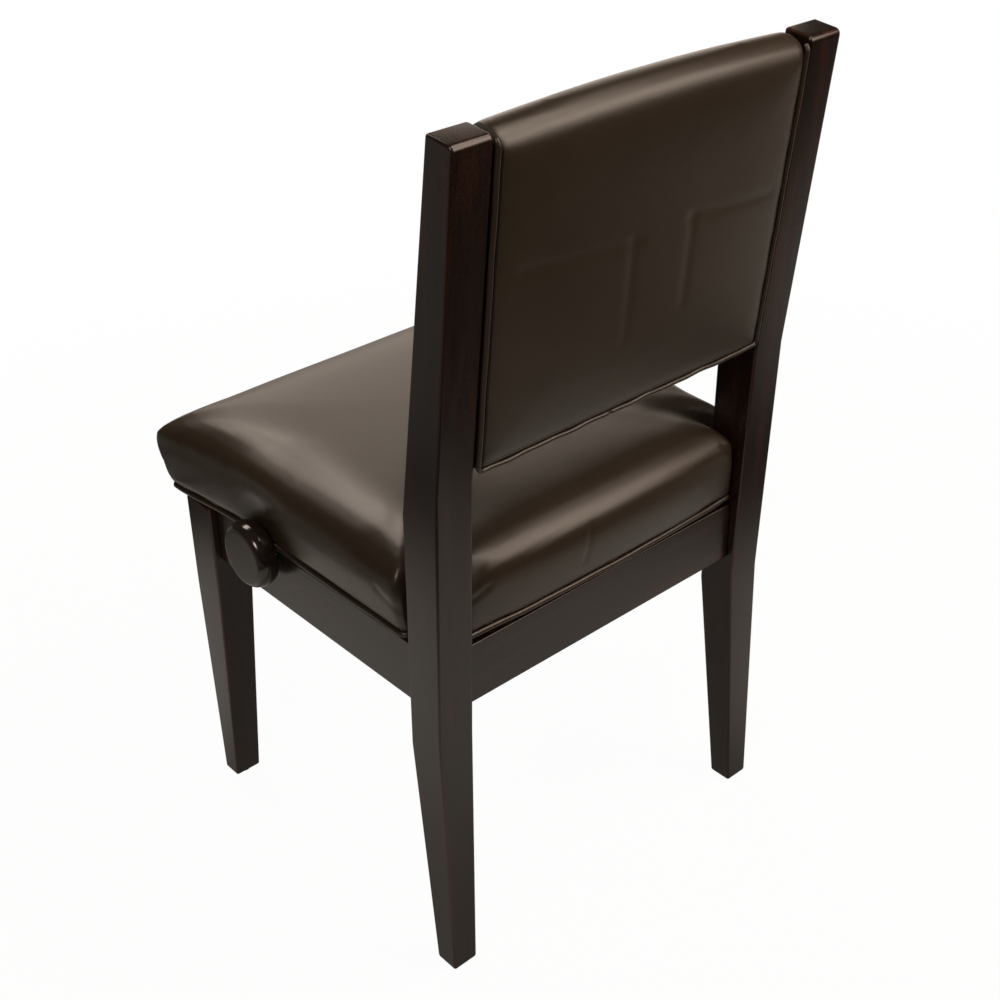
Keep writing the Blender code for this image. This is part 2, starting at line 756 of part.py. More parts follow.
def lift():
    run = SLIDE_TRAVEL
    slot_radius = ROD_RADIUS + OPEN_PIVOT
    pin_slot = PIN_RADIUS + OPEN_PIVOT
    lower_z = LIFT_LOW - RAIL_HEIGHT / 2
    upper_z = SEAT_BOARD_BOTTOM - GAP - RAIL_HEIGHT
    centre = ((LIFT_PIVOT_X + SLIDE_X) / 2, (LIFT_LOW + LIFT_HIGH) / 2)
    along = math.cos(START_ANGLE), math.sin(START_ANGLE)
    outer_tie = (LIFT_PIVOT_X - TIE_PLACE * along[0], LIFT_LOW + TIE_PLACE * along[1])
    inner_tie = (SLIDE_X + TIE_PLACE * along[0], LIFT_LOW + TIE_PLACE * along[1])
    fixed = PIN_RADIUS + GAP
    for end, y, inward in LIFT_ENDS:
        lower = rail(f"lower_rail_{end}", y, lower_z, inward, False, True)
        upper = rail(f"upper_rail_{end}", y, upper_z, -inward, True, False)
        low_slot = slot_cutter(
            f"low_slot_{end}", y, SLIDE_X - SLOT_SPARE / 2, LIFT_LOW, run + SLOT_SPARE, slot_radius
        )
        high_slot = slot_cutter(
            f"high_slot_{end}", y, SLIDE_X - SLOT_SPARE / 2, LIFT_HIGH, run + SLOT_SPARE, pin_slot
        )
        cut(lower, low_slot)
        cut(upper, high_slot)
        outer_y = y + inward * (RAIL_THICK / 2 + ARM_SPACE + ARM_THICK / 2)
        inner_y = outer_y + inward * (ARM_SPACE + ARM_THICK)
        far = y - inward * (RAIL_THICK / 2 + ARM_SPACE)
        outer_face = outer_y + inward * (ARM_THICK / 2 + ARM_SPACE * 0.6)
        inner_face = inner_y + inward * (ARM_THICK / 2 + ARM_SPACE)
        bar(
            f"outer_arm_{end}",
            outer_y,
            (LIFT_PIVOT_X, LIFT_LOW),
            (SLIDE_X, LIFT_HIGH),
            [
                (LIFT_PIVOT_X, LIFT_LOW, fixed),
                (*centre, fixed),
                (SLIDE_X, LIFT_HIGH, fixed),
                (*outer_tie, TIE_RADIUS + GAP),
            ],
            STEEL,
        )
        bar(
            f"inner_arm_{end}",
            inner_y,
            (LIFT_PIVOT_X, LIFT_HIGH),
            (SLIDE_X, LIFT_LOW),
            [
                (LIFT_PIVOT_X, LIFT_HIGH, fixed),
                (*centre, PIN_RADIUS + OPEN_PIVOT),
                (SLIDE_X, LIFT_LOW, ROD_RADIUS + GAP),
                (*inner_tie, TIE_RADIUS + GAP),
            ],
            STEEL,
        )
        for name, x, z, stop, hole_in in (
            (f"lower_pivot_{end}", LIFT_PIVOT_X, LIFT_LOW, outer_face, lower),
            (f"upper_pivot_{end}", LIFT_PIVOT_X, LIFT_HIGH, inner_face, upper),
            (f"slide_pin_{end}", SLIDE_X, LIFT_HIGH, outer_face, None),
        ):
            rod(name, (x, far, z), (x, stop, z), PIN_RADIUS, ZINC, 16)
            if hole_in:
                start = (x, y - RAIL_THICK, z)
                cut(hole_in, rod(f"{name}_hole", start, (x, y + RAIL_THICK, z), fixed, None, 16))
        start = outer_y - inward * (ARM_THICK / 2 + ARM_SPACE * 0.6)
        x, z = centre
        rod(f"centre_pin_{end}", (x, start, z), (x, inner_face, z), PIN_RADIUS, ZINC, 16)
    reach = RAIL_THICK / 2 + ARM_SPACE
    x, z = outer_tie
    rod("outer_arm_tie", (x, LIFT_FRONT + reach, z), (x, LIFT_REAR - reach, z), TIE_RADIUS, STEEL)
    reach += ARM_THICK + ARM_SPACE
    x, z = inner_tie
    rod("inner_arm_tie", (x, LIFT_FRONT + reach, z), (x, LIFT_REAR - reach, z), TIE_RADIUS, STEEL)
    reach = RAIL_THICK / 2 + ARM_SPACE
    start = (SLIDE_X, LIFT_FRONT - reach, LIFT_LOW)
    rod("slide_rod", start, (SLIDE_X, LIFT_REAR + reach, LIFT_LOW), ROD_RADIUS, ZINC)
    nut_carrier()


def nut_carrier():
    """A block on the sliding rod that stands up to the screw and holds its nut."""
    half_x, half_y = NUT_LENGTH / 2, NUT_WIDTH / 2
    low = LIFT_LOW - ROD_RADIUS * 2
    block = box(
        "nut_carrier",
        (SLIDE_X - half_x, SCREW_Y - half_y, low),
        (SLIDE_X + half_x, SCREW_Y + half_y, SCREW_Z),
        STEEL,
    )
    boss = rod(
        "nut_boss",
        (SLIDE_X - half_x, SCREW_Y, SCREW_Z),
        (SLIDE_X + half_x, SCREW_Y, SCREW_Z),
        NUT_RADIUS,
        None,
        24,
    )
    shoulder = half_y - NUT_RADIUS
    trims = []
    for step in (-1, 1):
        ys = sorted((SCREW_Y + step * NUT_RADIUS, SCREW_Y + step * (half_y + shoulder)))
        trims.append(box(
            f"nut_trim_{step}",
            (SLIDE_X - 2 * half_x, ys[0], SCREW_Z - NUT_RADIUS),
            (SLIDE_X + 2 * half_x, ys[1], SCREW_Z + NUT_RADIUS),
            None,
        ))
    reach = NUT_WIDTH
    bore = rod(
        "nut_bore",
        (SLIDE_X - reach, SCREW_Y, SCREW_Z),
        (SLIDE_X + reach, SCREW_Y, SCREW_Z),
        SCREW_RADIUS + OPEN_PIVOT,
        None,
    )
    rod_hole = rod(
        "nut_rod_hole",
        (SLIDE_X, SCREW_Y - reach, LIFT_LOW),
        (SLIDE_X, SCREW_Y + reach, LIFT_LOW),
        ROD_RADIUS + GAP,
        None,
    )
    cut(join(block, boss), *trims, bore, rod_hole)


# Screw, its bearings and knobs

def knob(side, sign):
    """A turned barrel knob with a flat face, socketed on the end of the screw."""
    belly = KNOB_BELLY
    rear_swell = KNOB_RADIUS - KNOB_REAR_RADIUS
    face_swell = KNOB_RADIUS - KNOB_FACE_RADIUS
    socket = SCREW_RADIUS + GAP
    profile = [(0, KNOB_DEPTH)]
    for i in range(7):
        a = math.radians(90 - 15 * i)
        height = belly + (KNOB_DEPTH - belly) * math.sin(a)
        profile.append((KNOB_FACE_RADIUS + face_swell * math.cos(a), height))
    for i in range(1, 6):
        a = math.radians(18 * i)
        profile.append((KNOB_REAR_RADIUS + rear_swell * math.cos(a), belly * (1 - math.sin(a))))
    hub = KNOB_HUB_GAP - KNOB_STANDOFF
    profile += [(KNOB_HUB_RADIUS, 0), (KNOB_HUB_RADIUS, hub)]
    profile += [(socket, hub), (socket, KNOB_SOCKET), (0, KNOB_SOCKET)]
    obj = turned(f"knob_{side}", profile, KNOB_PLASTIC, 40)
    obj.location = (sign * KNOB_BACK, SCREW_Y, SCREW_Z)
    obj.rotation_euler = (0, sign * math.pi / 2, 0)


def screw_and_knobs():
    end = KNOB_BACK + KNOB_SOCKET - GAP
    rod("lead_screw", (-end, SCREW_Y, SCREW_Z), (end, SCREW_Y, SCREW_Z), SCREW_RADIUS, ZINC, 24)
    depth, width, height = BEARING_SIZE
    running = SCREW_RADIUS + GAP
    for side, sign in SIDES:
        outer = SIDE_INNER - GAP
        top = SCREW_Z + BEARING_RISE
        xs = sorted((sign * outer, sign * (outer - depth)))
        bearing = box(
            f"screw_bearing_{side}",
            (xs[0], SCREW_Y - width / 2, top - height),
            (xs[1], SCREW_Y + width / 2, top),
            STEEL,
        )
        bore = rod(
            f"bearing_bore_{side}",
            (xs[0] - depth, SCREW_Y, SCREW_Z),
            (xs[1] + depth, SCREW_Y, SCREW_Z),
            running,
            None,
            24,
        )
        cut(bearing, bore)
        start = outer - depth - GAP
        collar = rod(
            f"screw_collar_{side}",
            (sign * start, SCREW_Y, SCREW_Z),
            (sign * (start - COLLAR_LENGTH), SCREW_Y, SCREW_Z),
            COLLAR_RADIUS,
            ZINC,
            24,
        )
        hole = rod(
            f"collar_bore_{side}",
            (sign * (start + COLLAR_LENGTH), SCREW_Y, SCREW_Z),
            (sign * (start - 2 * COLLAR_LENGTH), SCREW_Y, SCREW_Z),
            running,
            None,
            24,
        )
        cut(collar, hole)
        knob(side, sign)


# Moving bodies: an empty on each joint's axis carries the pieces that move with it

MOVING = (
    ("seat_lift", (0, 0, SEAT_BOARD_BOTTOM), ("seat_", "upper_")),
    ("outer_arm_swing", (LIFT_PIVOT_X, 0, LIFT_LOW), ("outer_arm_", "centre_pin_", "slide_pin_")),
    ("inner_arm_swing", (LIFT_PIVOT_X, 0, LIFT_HIGH), ("inner_arm_",)),
    ("nut_level", (SLIDE_X, 0, LIFT_LOW), ("nut_carrier", "slide_rod")),
    ("knob_turn", (0, SCREW_Y, SCREW_Z), ("lead_screw", "knob_", "screw_collar_")),
)


def carry(name, place, prefixes):
    pieces = [obj for obj in parts.objects if obj.name.startswith(prefixes)]
    axis = bpy.data.objects.new(f"axis_of_{name}", None)
    axis.location = place
    axis.empty_display_size = ARM_WIDTH
    parts.objects.link(axis)
    for piece in pieces:
        piece.parent = axis
        piece.matrix_parent_inverse = Matrix.Translation(place).inverted()


wooden_frame()
back()
seat()
lift()
screw_and_knobs()
for moving in MOVING:
    carry(*moving)
swing = math.degrees(END_ANGLE - START_ANGLE)
print(f"arm swing {swing:.4f} degrees, nut travel {1000 * SLIDE_TRAVEL:.2f} mm")
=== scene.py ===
"""Piano chair: lacquered wood, filled vinyl upholstery and a screw-driven lift, in a studio."""

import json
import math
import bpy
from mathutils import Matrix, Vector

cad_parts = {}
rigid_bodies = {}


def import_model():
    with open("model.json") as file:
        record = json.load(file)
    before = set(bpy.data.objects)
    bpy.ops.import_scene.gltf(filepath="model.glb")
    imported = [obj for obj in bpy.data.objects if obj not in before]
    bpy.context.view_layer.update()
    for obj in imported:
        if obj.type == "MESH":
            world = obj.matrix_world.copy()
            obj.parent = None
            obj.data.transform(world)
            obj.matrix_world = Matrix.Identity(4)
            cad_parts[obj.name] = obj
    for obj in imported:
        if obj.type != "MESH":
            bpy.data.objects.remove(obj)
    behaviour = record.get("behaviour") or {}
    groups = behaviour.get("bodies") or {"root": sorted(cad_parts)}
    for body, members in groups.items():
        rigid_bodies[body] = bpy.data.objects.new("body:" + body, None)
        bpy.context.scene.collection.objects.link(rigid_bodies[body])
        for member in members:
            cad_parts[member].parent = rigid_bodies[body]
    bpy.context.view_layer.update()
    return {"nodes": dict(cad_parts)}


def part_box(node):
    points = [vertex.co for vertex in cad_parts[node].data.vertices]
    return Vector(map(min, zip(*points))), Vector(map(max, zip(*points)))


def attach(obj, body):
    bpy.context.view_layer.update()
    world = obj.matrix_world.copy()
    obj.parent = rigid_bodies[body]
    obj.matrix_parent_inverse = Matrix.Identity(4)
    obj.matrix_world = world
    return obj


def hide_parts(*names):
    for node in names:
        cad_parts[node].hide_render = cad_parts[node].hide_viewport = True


bl_info = {
    "name": "Piano chair",
    "version": (1, 0, 0),
    "blender": (4, 5, 0),
    "location": "3D View > Sidebar > Chair",
    "description": "Dresses the piano chair's frame with its finishes, upholstery, lift details and studio",
    "category": "Object",
}

import bmesh
import bpy
import numpy as np
from bpy.props import FloatProperty, FloatVectorProperty, IntProperty, PointerProperty
from mathutils import Matrix, Vector
from mathutils.bvhtree import BVHTree

for old in list(bpy.data.objects):
    bpy.data.objects.remove(old, do_unlink=True)

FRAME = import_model()

# Places read from the frame
POST_LOW, POST_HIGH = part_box("rear_post_left")
HALF = POST_HIGH.x
POST_INNER = POST_LOW.x
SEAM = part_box("seat_cushion")[0].z
KNOB_LOW, KNOB_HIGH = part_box("knob_left")
SCREW_Y = (KNOB_LOW.y + KNOB_HIGH.y) / 2
SCREW_Z = (KNOB_LOW.z + KNOB_HIGH.z) / 2
KNOB_RADIUS = (KNOB_HIGH.z - KNOB_LOW.z) / 2

# The seat's plan
SEAT_FRONT = -0.2363
SEAT_REAR = 0.1965
SEAT_NOTCH = 0.1553
SEAT_SIDE = HALF - 0.0030
SEAT_TONGUE = POST_INNER - 0.0010
SEAT_BOW = 0.006
SEAT_FLARE = 0.0095
SEAT_FLARE_GROWTH = 0.004
SEAT_FLARE_RUN = 0.105
SEAT_BULGE_FRONT = 0.0145
SEAT_BULGE_SIDE = 0.010
SEAT_BULGE_REAR = 0.004
SEAT_CORNER_FRONT = 0.007
SEAT_CORNER_POST = 0.008
SEAT_CORNER_REAR = 0.003
SEAT_CORNER_NOTCH = 0.003
SEAT_DENT = 0.010
DENT_REACH = 0.056

# The back panel, seen along its rake
BACK_BASE = (0.21503, 0.5875)
BACK_RAKE = math.radians(6.157)
BACK_LENGTH = 0.3140
BACK_HALF = POST_INNER - 0.0034
BACK_EDGE = 0.006
BACK_ROLL = 0.024
BACK_ROLL_OUT = -0.021
BACK_ARCH = 0.0063
BACK_CROWN = 0.006
BACK_FRONT_CROWN = 0.003
BACK_PROUD = 0.001

# Where pieces repeat, with a sign: the side's along X, and the way inwards from the end along Y
SIDES = (("left", 1), ("right", -1))
ENDS = (("front", 1), ("rear", -1))


# Settings

def colour_setting(title, words, default):
    return FloatVectorProperty(
        name=title, description=words, subtype="COLOR", size=3, default=default, min=0, max=1
    )


def length_setting(title, words, default, low, high):
    return FloatProperty(name=title, description=words, default=default, min=low, max=high, unit="LENGTH")


def share_setting(title, words, default):
    return FloatProperty(name=title, description=words, default=default, min=0, max=1, subtype="FACTOR")


def power_setting(title, words, default):
    return FloatProperty(name=title, description=words, default=default, min=0, max=500, unit="POWER")


def angle_setting(title, words, degrees):
    return FloatProperty(name=title, description=words, default=math.radians(degrees), subtype="ANGLE")


class ChairUpholstery(bpy.types.PropertyGroup):
    vinyl_colour: colour_setting("Vinyl", "Colour of the vinyl", (0.0260, 0.0175, 0.0102))
    vinyl_roughness: share_setting("Vinyl roughness", "How blurred the vinyl's reflections are", 0.32)
    filling: FloatProperty(
        name="Filling", description="Pressure that swells the cushions", default=4.0, min=0, max=20
    )
    swell: length_setting("Swell", "Furthest that filling moves the cover", 0.005, 0, 0.02)
    grain: length_setting("Grain", "Size of one pebble in the vinyl", 0.0011, 0.0002, 0.01)
    stitch: length_setting("Stitch", "Length from one stitch to the next", 0.0042, 0.001, 0.02)
    seat_piping: length_setting("Seat piping", "Radius of the piping round the seat", 0.0032, 0.001, 0.008)
    back_piping: length_setting("Back piping", "Radius of the piping on the back", 0.0024, 0.001, 0.008)


class ChairWood(bpy.types.PropertyGroup):
    dark: colour_setting("Dark grain", "Colour of the wood's dark grain", (0.0045, 0.0019, 0.0010))
    light: colour_setting("Light grain", "Colour of the wood between its grain", (0.0112, 0.0049, 0.0027))
    warm: colour_setting("Warm stain", "Red that shows where the stain is thin", (0.0300, 0.0080, 0.0032))
    roughness: share_setting("Lacquer roughness", "How satin the lacquer is", 0.25)


class ChairLift(bpy.types.PropertyGroup):
    pitch: length_setting("Thread pitch", "Travel of the nut in one turn of the knob", 0.00313, 0.001, 0.01)
    thread_depth: length_setting("Thread depth", "Depth of the lead screw's thread", 0.0009, 0, 0.003)
    head: length_setting("Screw head", "Radius of the pan-head screws", 0.0040, 0.001, 0.01)
    knob_steps: IntProperty(
        name="Knob steps", description="Faces round each knob", default=96, min=24, max=256
    )
    knob_colour: colour_setting("Knob", "Colour of the knobs", (0.0120, 0.0088, 0.0072))
    zinc_colour: colour_setting("Zinc", "Colour of the plated steel", (0.56, 0.55, 0.52))


class ChairStudio(bpy.types.PropertyGroup):
    azimuth: angle_setting("Azimuth", "Turn of the camera from the chair's front", 137.888)
    elevation: angle_setting("Elevation", "Height angle of the camera", 31.642)
    distance: length_setting("Distance", "From the camera to what it looks at", 1.6518, 0.5, 10)
    lens: FloatProperty(
        name="Lens", description="Focal length in millimetres", default=56.65, min=10, max=200
    )
    floor_glow: share_setting("Floor glow", "Share of the floor that stays white in shadow", 0.97)
    pool: share_setting("Pool", "Brightness of the floor near the chair, as gloss mirrors it", 0.60)
    front: power_setting("Front light", "Power of the softbox before the chair", 12.6)
    front_high: power_setting("High front light", "Power of the softbox over the chair's front", 15.5)
    beside: power_setting("Side light", "Power of the small softbox near the camera", 22.0)
    rear_low: power_setting("Low rear light", "Power of the low softbox behind the chair", 6.2)
    rear: power_setting("Rear light", "Power of the softbox behind the chair", 20.0)
    rear_high: power_setting("High rear light", "Power of the softbox over the chair's back", 16.4)
    surround: FloatProperty(
        name="Surround", description="Strength of the light from all round", default=0.05, min=0, max=2
    )


# Materials

class Value:
    """A shader socket that takes part in Python sums; each sum adds a Math node."""

    def __init__(self, finish, socket):
        self.finish = finish
        self.socket = socket

    def math(self, operation, *values):
        return self.finish.node("ShaderNodeMath", {"operation": operation}, dict(enumerate(values)))

    def __add__(self, other):
        return self.math("ADD", self, other)

    def __radd__(self, other):
        return self.math("ADD", other, self)

    def __sub__(self, other):
        return self.math("SUBTRACT", self, other)

    def __rsub__(self, other):
        return self.math("SUBTRACT", other, self)

    def __mul__(self, other):
        return self.math("MULTIPLY", self, other)

    def __rmul__(self, other):
        return self.math("MULTIPLY", other, self)

    def __abs__(self):
        return self.math("ABSOLUTE", self)

    def step(self, low, high):
        """0 below low, 1 above high, smooth between."""
        settings = {"interpolation_type": "SMOOTHSTEP"}
        inputs = {"Value": self, "From Min": low, "From Max": high, "To Min": 0.0, "To Max": 1.0}
        return self.finish.node("ShaderNodeMapRange", settings, inputs)


class Finish:
    """A material in the making, ended by a Principled shader; or the nodes of a world."""

    def __init__(self, name, world=None):
        self.material = world or bpy.data.materials.new(name)
        self.material.use_nodes = True
        self.tree = self.material.node_tree
        self.shader = self.tree.nodes.get("Principled BSDF")

    def feed(self, socket, value):
        if isinstance(value, Value):
            self.tree.links.new(value.socket, socket)
        elif socket.type == "RGBA" and len(value) == 3:
            socket.default_value = (*value, 1.0)
        else:
            socket.default_value = value

    def node(self, kind, settings=None, inputs=None, output=0):
        made = self.tree.nodes.new(kind)
        for name, value in (settings or {}).items():
            setattr(made, name, value)
        for name, value in (inputs or {}).items():
            self.feed(made.inputs[name], value)
        return Value(self, made.outputs[output])

    def place(self, scale=(1, 1, 1)):
        """Object coordinates, scaled."""
        start = self.node("ShaderNodeTexCoord", output="Object")
        inputs = {"Vector": start, "Scale": scale}
        return self.node("ShaderNodeMapping", {"vector_type": "POINT"}, inputs)

    def axis(self, name):
        """One object coordinate as a value."""
        start = self.node("ShaderNodeTexCoord", output="Object")
        return self.node("ShaderNodeSeparateXYZ", None, {"Vector": start}, output=name)

    def noise(self, place, scale, detail=2.0, roughness=0.5):
        inputs = {"Vector": place, "Scale": scale, "Detail": detail, "Roughness": roughness}
        return self.node("ShaderNodeTexNoise", {"noise_dimensions": "3D"}, inputs)

    def cells(self, place, scale):
        """How far a point is from the edge of the pebble that it is in."""
        inputs = {"Vector": place, "Scale": scale, "Randomness": 0.9}
        return self.node("ShaderNodeTexVoronoi", {"feature": "DISTANCE_TO_EDGE"}, inputs)

    def mix(self, share, first, second):
        inputs = {0: share, 6: first, 7: second}
        return self.node("ShaderNodeMix", {"data_type": "RGBA"}, inputs, output=2)

    def bump(self, height, distance, strength=1.0, under=None):
        inputs = {"Height": height, "Distance": distance, "Strength": strength}
        if under:
            inputs["Normal"] = under
        return self.node("ShaderNodeBump", None, inputs)

    def shade(self, **sockets):
        for name, value in sockets.items():
            self.feed(self.shader.inputs[name.replace("_", " ")], value)
        return self.material

    def end(self, surface):
        """Ends in this shader in place of the Principled one."""
        for node in self.tree.nodes:
            if node.type in ("OUTPUT_MATERIAL", "OUTPUT_WORLD"):
                self.feed(node.inputs["Surface"], surface)
        return self.material


# Grain is drawn out along its axis. PLY_PAIR is the thickness of two layers of plywood.
GRAIN_SCALES = {"x": (0.06, 1, 1), "y": (1, 0.06, 1), "z": (1, 1, 0.06)}
PLY_PAIR = 0.0030


def lacquered_wood(axis):
    """Espresso stain under satin lacquer, with its grain along one axis."""
    wood = bpy.context.scene.chair_wood
    finish = Finish(f"espresso_lacquer_{axis}")
    along = finish.place(GRAIN_SCALES[axis])
    plain = finish.place()
    streaks = finish.noise(along, 240.0, 5.0, 0.6)
    pores = finish.noise(along, 1100.0, 2.0, 0.5)
    drift = finish.noise(plain, 7.0, 2.0)
    mark = (streaks * 0.75 + drift * 0.45).step(0.35, 0.85)
    stain = finish.mix(mark, tuple(wood.dark), tuple(wood.light))
    thin = finish.noise(along, 60.0, 2.0).step(0.48, 0.75) * 0.45
    eased = finish.node("ShaderNodeAttribute", {"attribute_name": "eased"}, output="Fac")
    worn = eased * finish.noise(along, 25.0, 3.0).step(0.35, 0.65) * 0.8
    colour = finish.mix(thin + worn, stain, tuple(wood.warm))
    rough = wood.roughness - 0.05 + drift * 0.06 + pores * 0.06
    fine = finish.bump(pores * 0.5 + streaks * 0.5, 0.00004, 0.20)
    peel = finish.bump(finish.noise(plain, 90.0, 2.0), 0.00010, 0.10, fine)
    return finish.shade(Base_Color=colour, Roughness=rough, Normal=peel)


def plain_wood(name, grain, plies=None):
    """Unfinished wood; plies is the coordinate across a plywood board's layers."""
    finish = Finish(name)
    along = finish.place(GRAIN_SCALES[grain])
    streaks = finish.noise(along, 120.0, 4.0, 0.6)
    drift = finish.noise(finish.place(), 12.0, 2.0)
    tone = streaks * 0.7 + drift * 0.3
    if plies:
        turns = finish.axis(plies) * (2 * math.pi / PLY_PAIR)
        layer = turns.math("SINE", turns)
        tone = tone * 0.8 + layer.step(-0.2, 0.2) * 0.2
    colour = finish.mix(tone.step(0.25, 0.8), (0.52, 0.37, 0.21), (0.34, 0.215, 0.115))
    ridges = finish.bump(finish.noise(along, 700.0, 3.0), 0.00012, 0.5)
    return finish.shade(Base_Color=colour, Roughness=0.58 + streaks * 0.15, Normal=ridges)


# Where the painted shade of the sewn lines fades, from the back's edge and from the seat's seam
BACK_SEAM_SHADE_FADE = (0.0044, 0.0064)
SEAT_SEAM_SHADE_FADE = (0.0008, 0.0030)


def back_seam(finish):
    """1 in the sewn line beside the back's piping, where shade is painted; 0 on the rest of its cover."""
    side = BACK_HALF - abs(finish.axis("X"))
    rear = finish.axis("Y") - BACK_BASE[0]
    height = finish.axis("Z") - BACK_BASE[1]
    up = rear * math.sin(BACK_RAKE) + height * math.cos(BACK_RAKE)
    return 1 - side.math("MINIMUM", side, up).step(*BACK_SEAM_SHADE_FADE)


def seat_seam(finish):
    """1 in the sewn line over the seat's piping, where shade is painted; 0 on the rest of its cover."""
    return 1 - (finish.axis("Z") - SEAM).step(*SEAT_SEAM_SHADE_FADE)


def vinyl(name, shade=1.0, seam=None):
    """Dark brown vinyl: pebbled grain with painted shade in its valleys, slow waves, a tone that drifts, and
    a drawn-in sewn line darkened by painted shade.
    """
    settings = bpy.context.scene.chair_upholstery
    # A shade under 1 darkens the whole vinyl: painted shade, used on the piping.
    base = [shade * part for part in settings.vinyl_colour]
    finish = Finish(name)
    plain = finish.place()
    density = 1 / settings.grain
    pebbles = finish.cells(plain, density).step(0.0, 0.28)
    specks = finish.noise(plain, density * 1.7, 2.0)
    drift = finish.noise(plain, 9.0, 3.0)
    waves = finish.noise(plain, 34.0, 2.0)
    tone = (drift * 0.7 + specks * 0.3).step(0.3, 0.75)
    colour = finish.mix(tone, [0.86 * part for part in base], [1.14 * part for part in base])
    # The valleys between the pebbles are darkened: painted shade.
    shaded_colour = finish.mix((1 - pebbles) * 0.35, colour, [0.55 * part for part in base])
    rough = settings.vinyl_roughness - 0.05 + specks * 0.06 + drift * 0.06
    slow = finish.bump(waves, 0.0008, 0.22)
    grain = finish.bump(pebbles * 0.7 + specks * 0.3, 0.00010, 0.45, slow)
    if seam:
        line = seam(finish)
        # The sewn line is darkened towards near black: painted shade.
        shaded_colour = finish.mix(line * 0.85, shaded_colour, [0.12 * part for part in base])
        rough = rough + line * 0.45
        grain = finish.bump(1 - line, 0.0008, 0.9, grain)
    return finish.shade(Base_Color=shaded_colour, Roughness=rough, Normal=grain)


def thread_finish():
    """The cotton-wrapped thread of the seams."""
    finish = Finish("seam_thread")
    twist = finish.noise(finish.place(), 2600.0, 2.0)
    colour = finish.mix(twist.step(0.3, 0.7), (0.010, 0.0075, 0.0058), (0.022, 0.0165, 0.0125))
    strands = finish.bump(twist, 0.0001, 0.6)
    return finish.shade(Base_Color=colour, Roughness=0.55 + twist * 0.2, Normal=strands)


def coated_steel():
    """Black powder coat: a fine orange peel with slightly worn high spots."""
    finish = Finish("black_powder_coat")
    plain = finish.place()
    peel = finish.noise(plain, 900.0, 3.0)
    drift = finish.noise(plain, 30.0, 3.0)
    colour = finish.mix(drift.step(0.35, 0.7), (0.010, 0.010, 0.0105), (0.019, 0.019, 0.020))
    bumps = finish.bump(peel, 0.00012, 0.5)
    return finish.shade(Base_Color=colour, Roughness=0.40 + peel * 0.14, Normal=bumps)


def zinc_plate():
    """Bright zinc plate with faint turning marks."""
    colour = tuple(bpy.context.scene.chair_lift.zinc_colour)
    finish = Finish("zinc_plate")
    marks = finish.noise(finish.place((1, 0.05, 1)), 1500.0, 3.0)
    cloud = finish.noise(finish.place(), 70.0, 3.0)
    tone = finish.mix(cloud.step(0.3, 0.75), colour, [0.82 * part for part in colour])
    rough = 0.24 + cloud * 0.14 + marks * 0.06
    turned = finish.bump(marks, 0.00003, 0.4)
    return finish.shade(Base_Color=tone, Roughness=rough, Metallic=1.0, Normal=turned)


def knob_gloss():
    """Polished brown-black knob whose flat face is a little duller than its shoulder."""
    colour = tuple(bpy.context.scene.chair_lift.knob_colour)
    finish = Finish("knob_gloss")
    out = abs(finish.axis("X"))
    face = out.step(KNOB_HIGH.x - 0.0012, KNOB_HIGH.x - 0.0002)
    fine = finish.noise(finish.place(), 420.0, 4.0)
    slow = finish.noise(finish.place(), 55.0, 2.0)
    tone = finish.mix(slow.step(0.3, 0.7), colour, [1.5 * part for part in colour])
    rough = 0.13 + face * 0.20 + fine * 0.05
    skin = finish.bump(fine * 0.4 + slow * 0.6, 0.00012, 0.18)
    return finish.shade(Base_Color=tone, Roughness=rough, Normal=skin)


def nylon():
    """Moulded dark nylon, scuffed underneath."""
    finish = Finish("dark_nylon")
    scuff = finish.noise(finish.place(), 260.0, 4.0)
    low = 1 - finish.axis("Z").step(0.0, 0.0012)
    colour = finish.mix((scuff * low).step(0.3, 0.6), (0.028, 0.027, 0.026), (0.085, 0.080, 0.074))
    scratches = finish.bump(scuff, 0.0001, 0.4)
    return finish.shade(Base_Color=colour, Roughness=0.5 + scuff * 0.2, Normal=scratches)


# Mesh tools

# Points nearer than WELD merge. A face is eased where no axis has EASED or more of its normal.
WELD = 0.000005
EASED = 0.93


def finished(name, mesh, body, material, smooth):
    """A piece at the origin that rides on a body; edges of more than smooth degrees, if given, are sharp."""
    obj = bpy.data.objects.new(name, mesh)
    bpy.context.scene.collection.objects.link(obj)
    mesh.materials.clear()
    mesh.materials.append(material)
    mesh.shade_smooth()
    if smooth:
        mesh.set_sharp_from_angle(angle=math.radians(smooth))
    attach(obj, body)
    return obj


def mesh_of(shape, name, outwards=True):
    """A plain mesh from a bmesh, merged, with its faces turned outwards if asked."""
    bmesh.ops.remove_doubles(shape, verts=shape.verts, dist=WELD)
    if outwards:
        bmesh.ops.recalc_face_normals(shape, faces=shape.faces)
    mesh = bpy.data.meshes.new(name)
    shape.to_mesh(mesh)
    shape.free()
    return mesh


def copy_of(node, name):
    """A merged copy of a frame node's mesh."""
    shape = bmesh.new()
    shape.from_mesh(FRAME["nodes"][node].data)
    return mesh_of(shape, name, outwards=False)


def mark_eased(mesh):
    """Marks the eased edges, whose faces stand askew to all three axes: the stain is thinner there."""
    mark = mesh.attributes.new("eased", "FLOAT", "FACE")
    mark.data.foreach_set("value", [float(max(map(abs, face.normal)) < EASED) for face in mesh.polygons])


def dress(node, material):
    """Gives a frame node's own object a finish."""
    obj = FRAME["nodes"][node]
    if not obj.material_slots:
        obj.data.materials.append(None)
    for slot in obj.material_slots:
        slot.material = material


def points_of(mesh):
    flat = np.empty(len(mesh.vertices) * 3)
    mesh.vertices.foreach_get("co", flat)
    return flat.reshape(-1, 3)


def put_points(mesh, points):
    mesh.vertices.foreach_set("co", np.ascontiguousarray(points).ravel())
    mesh.update()


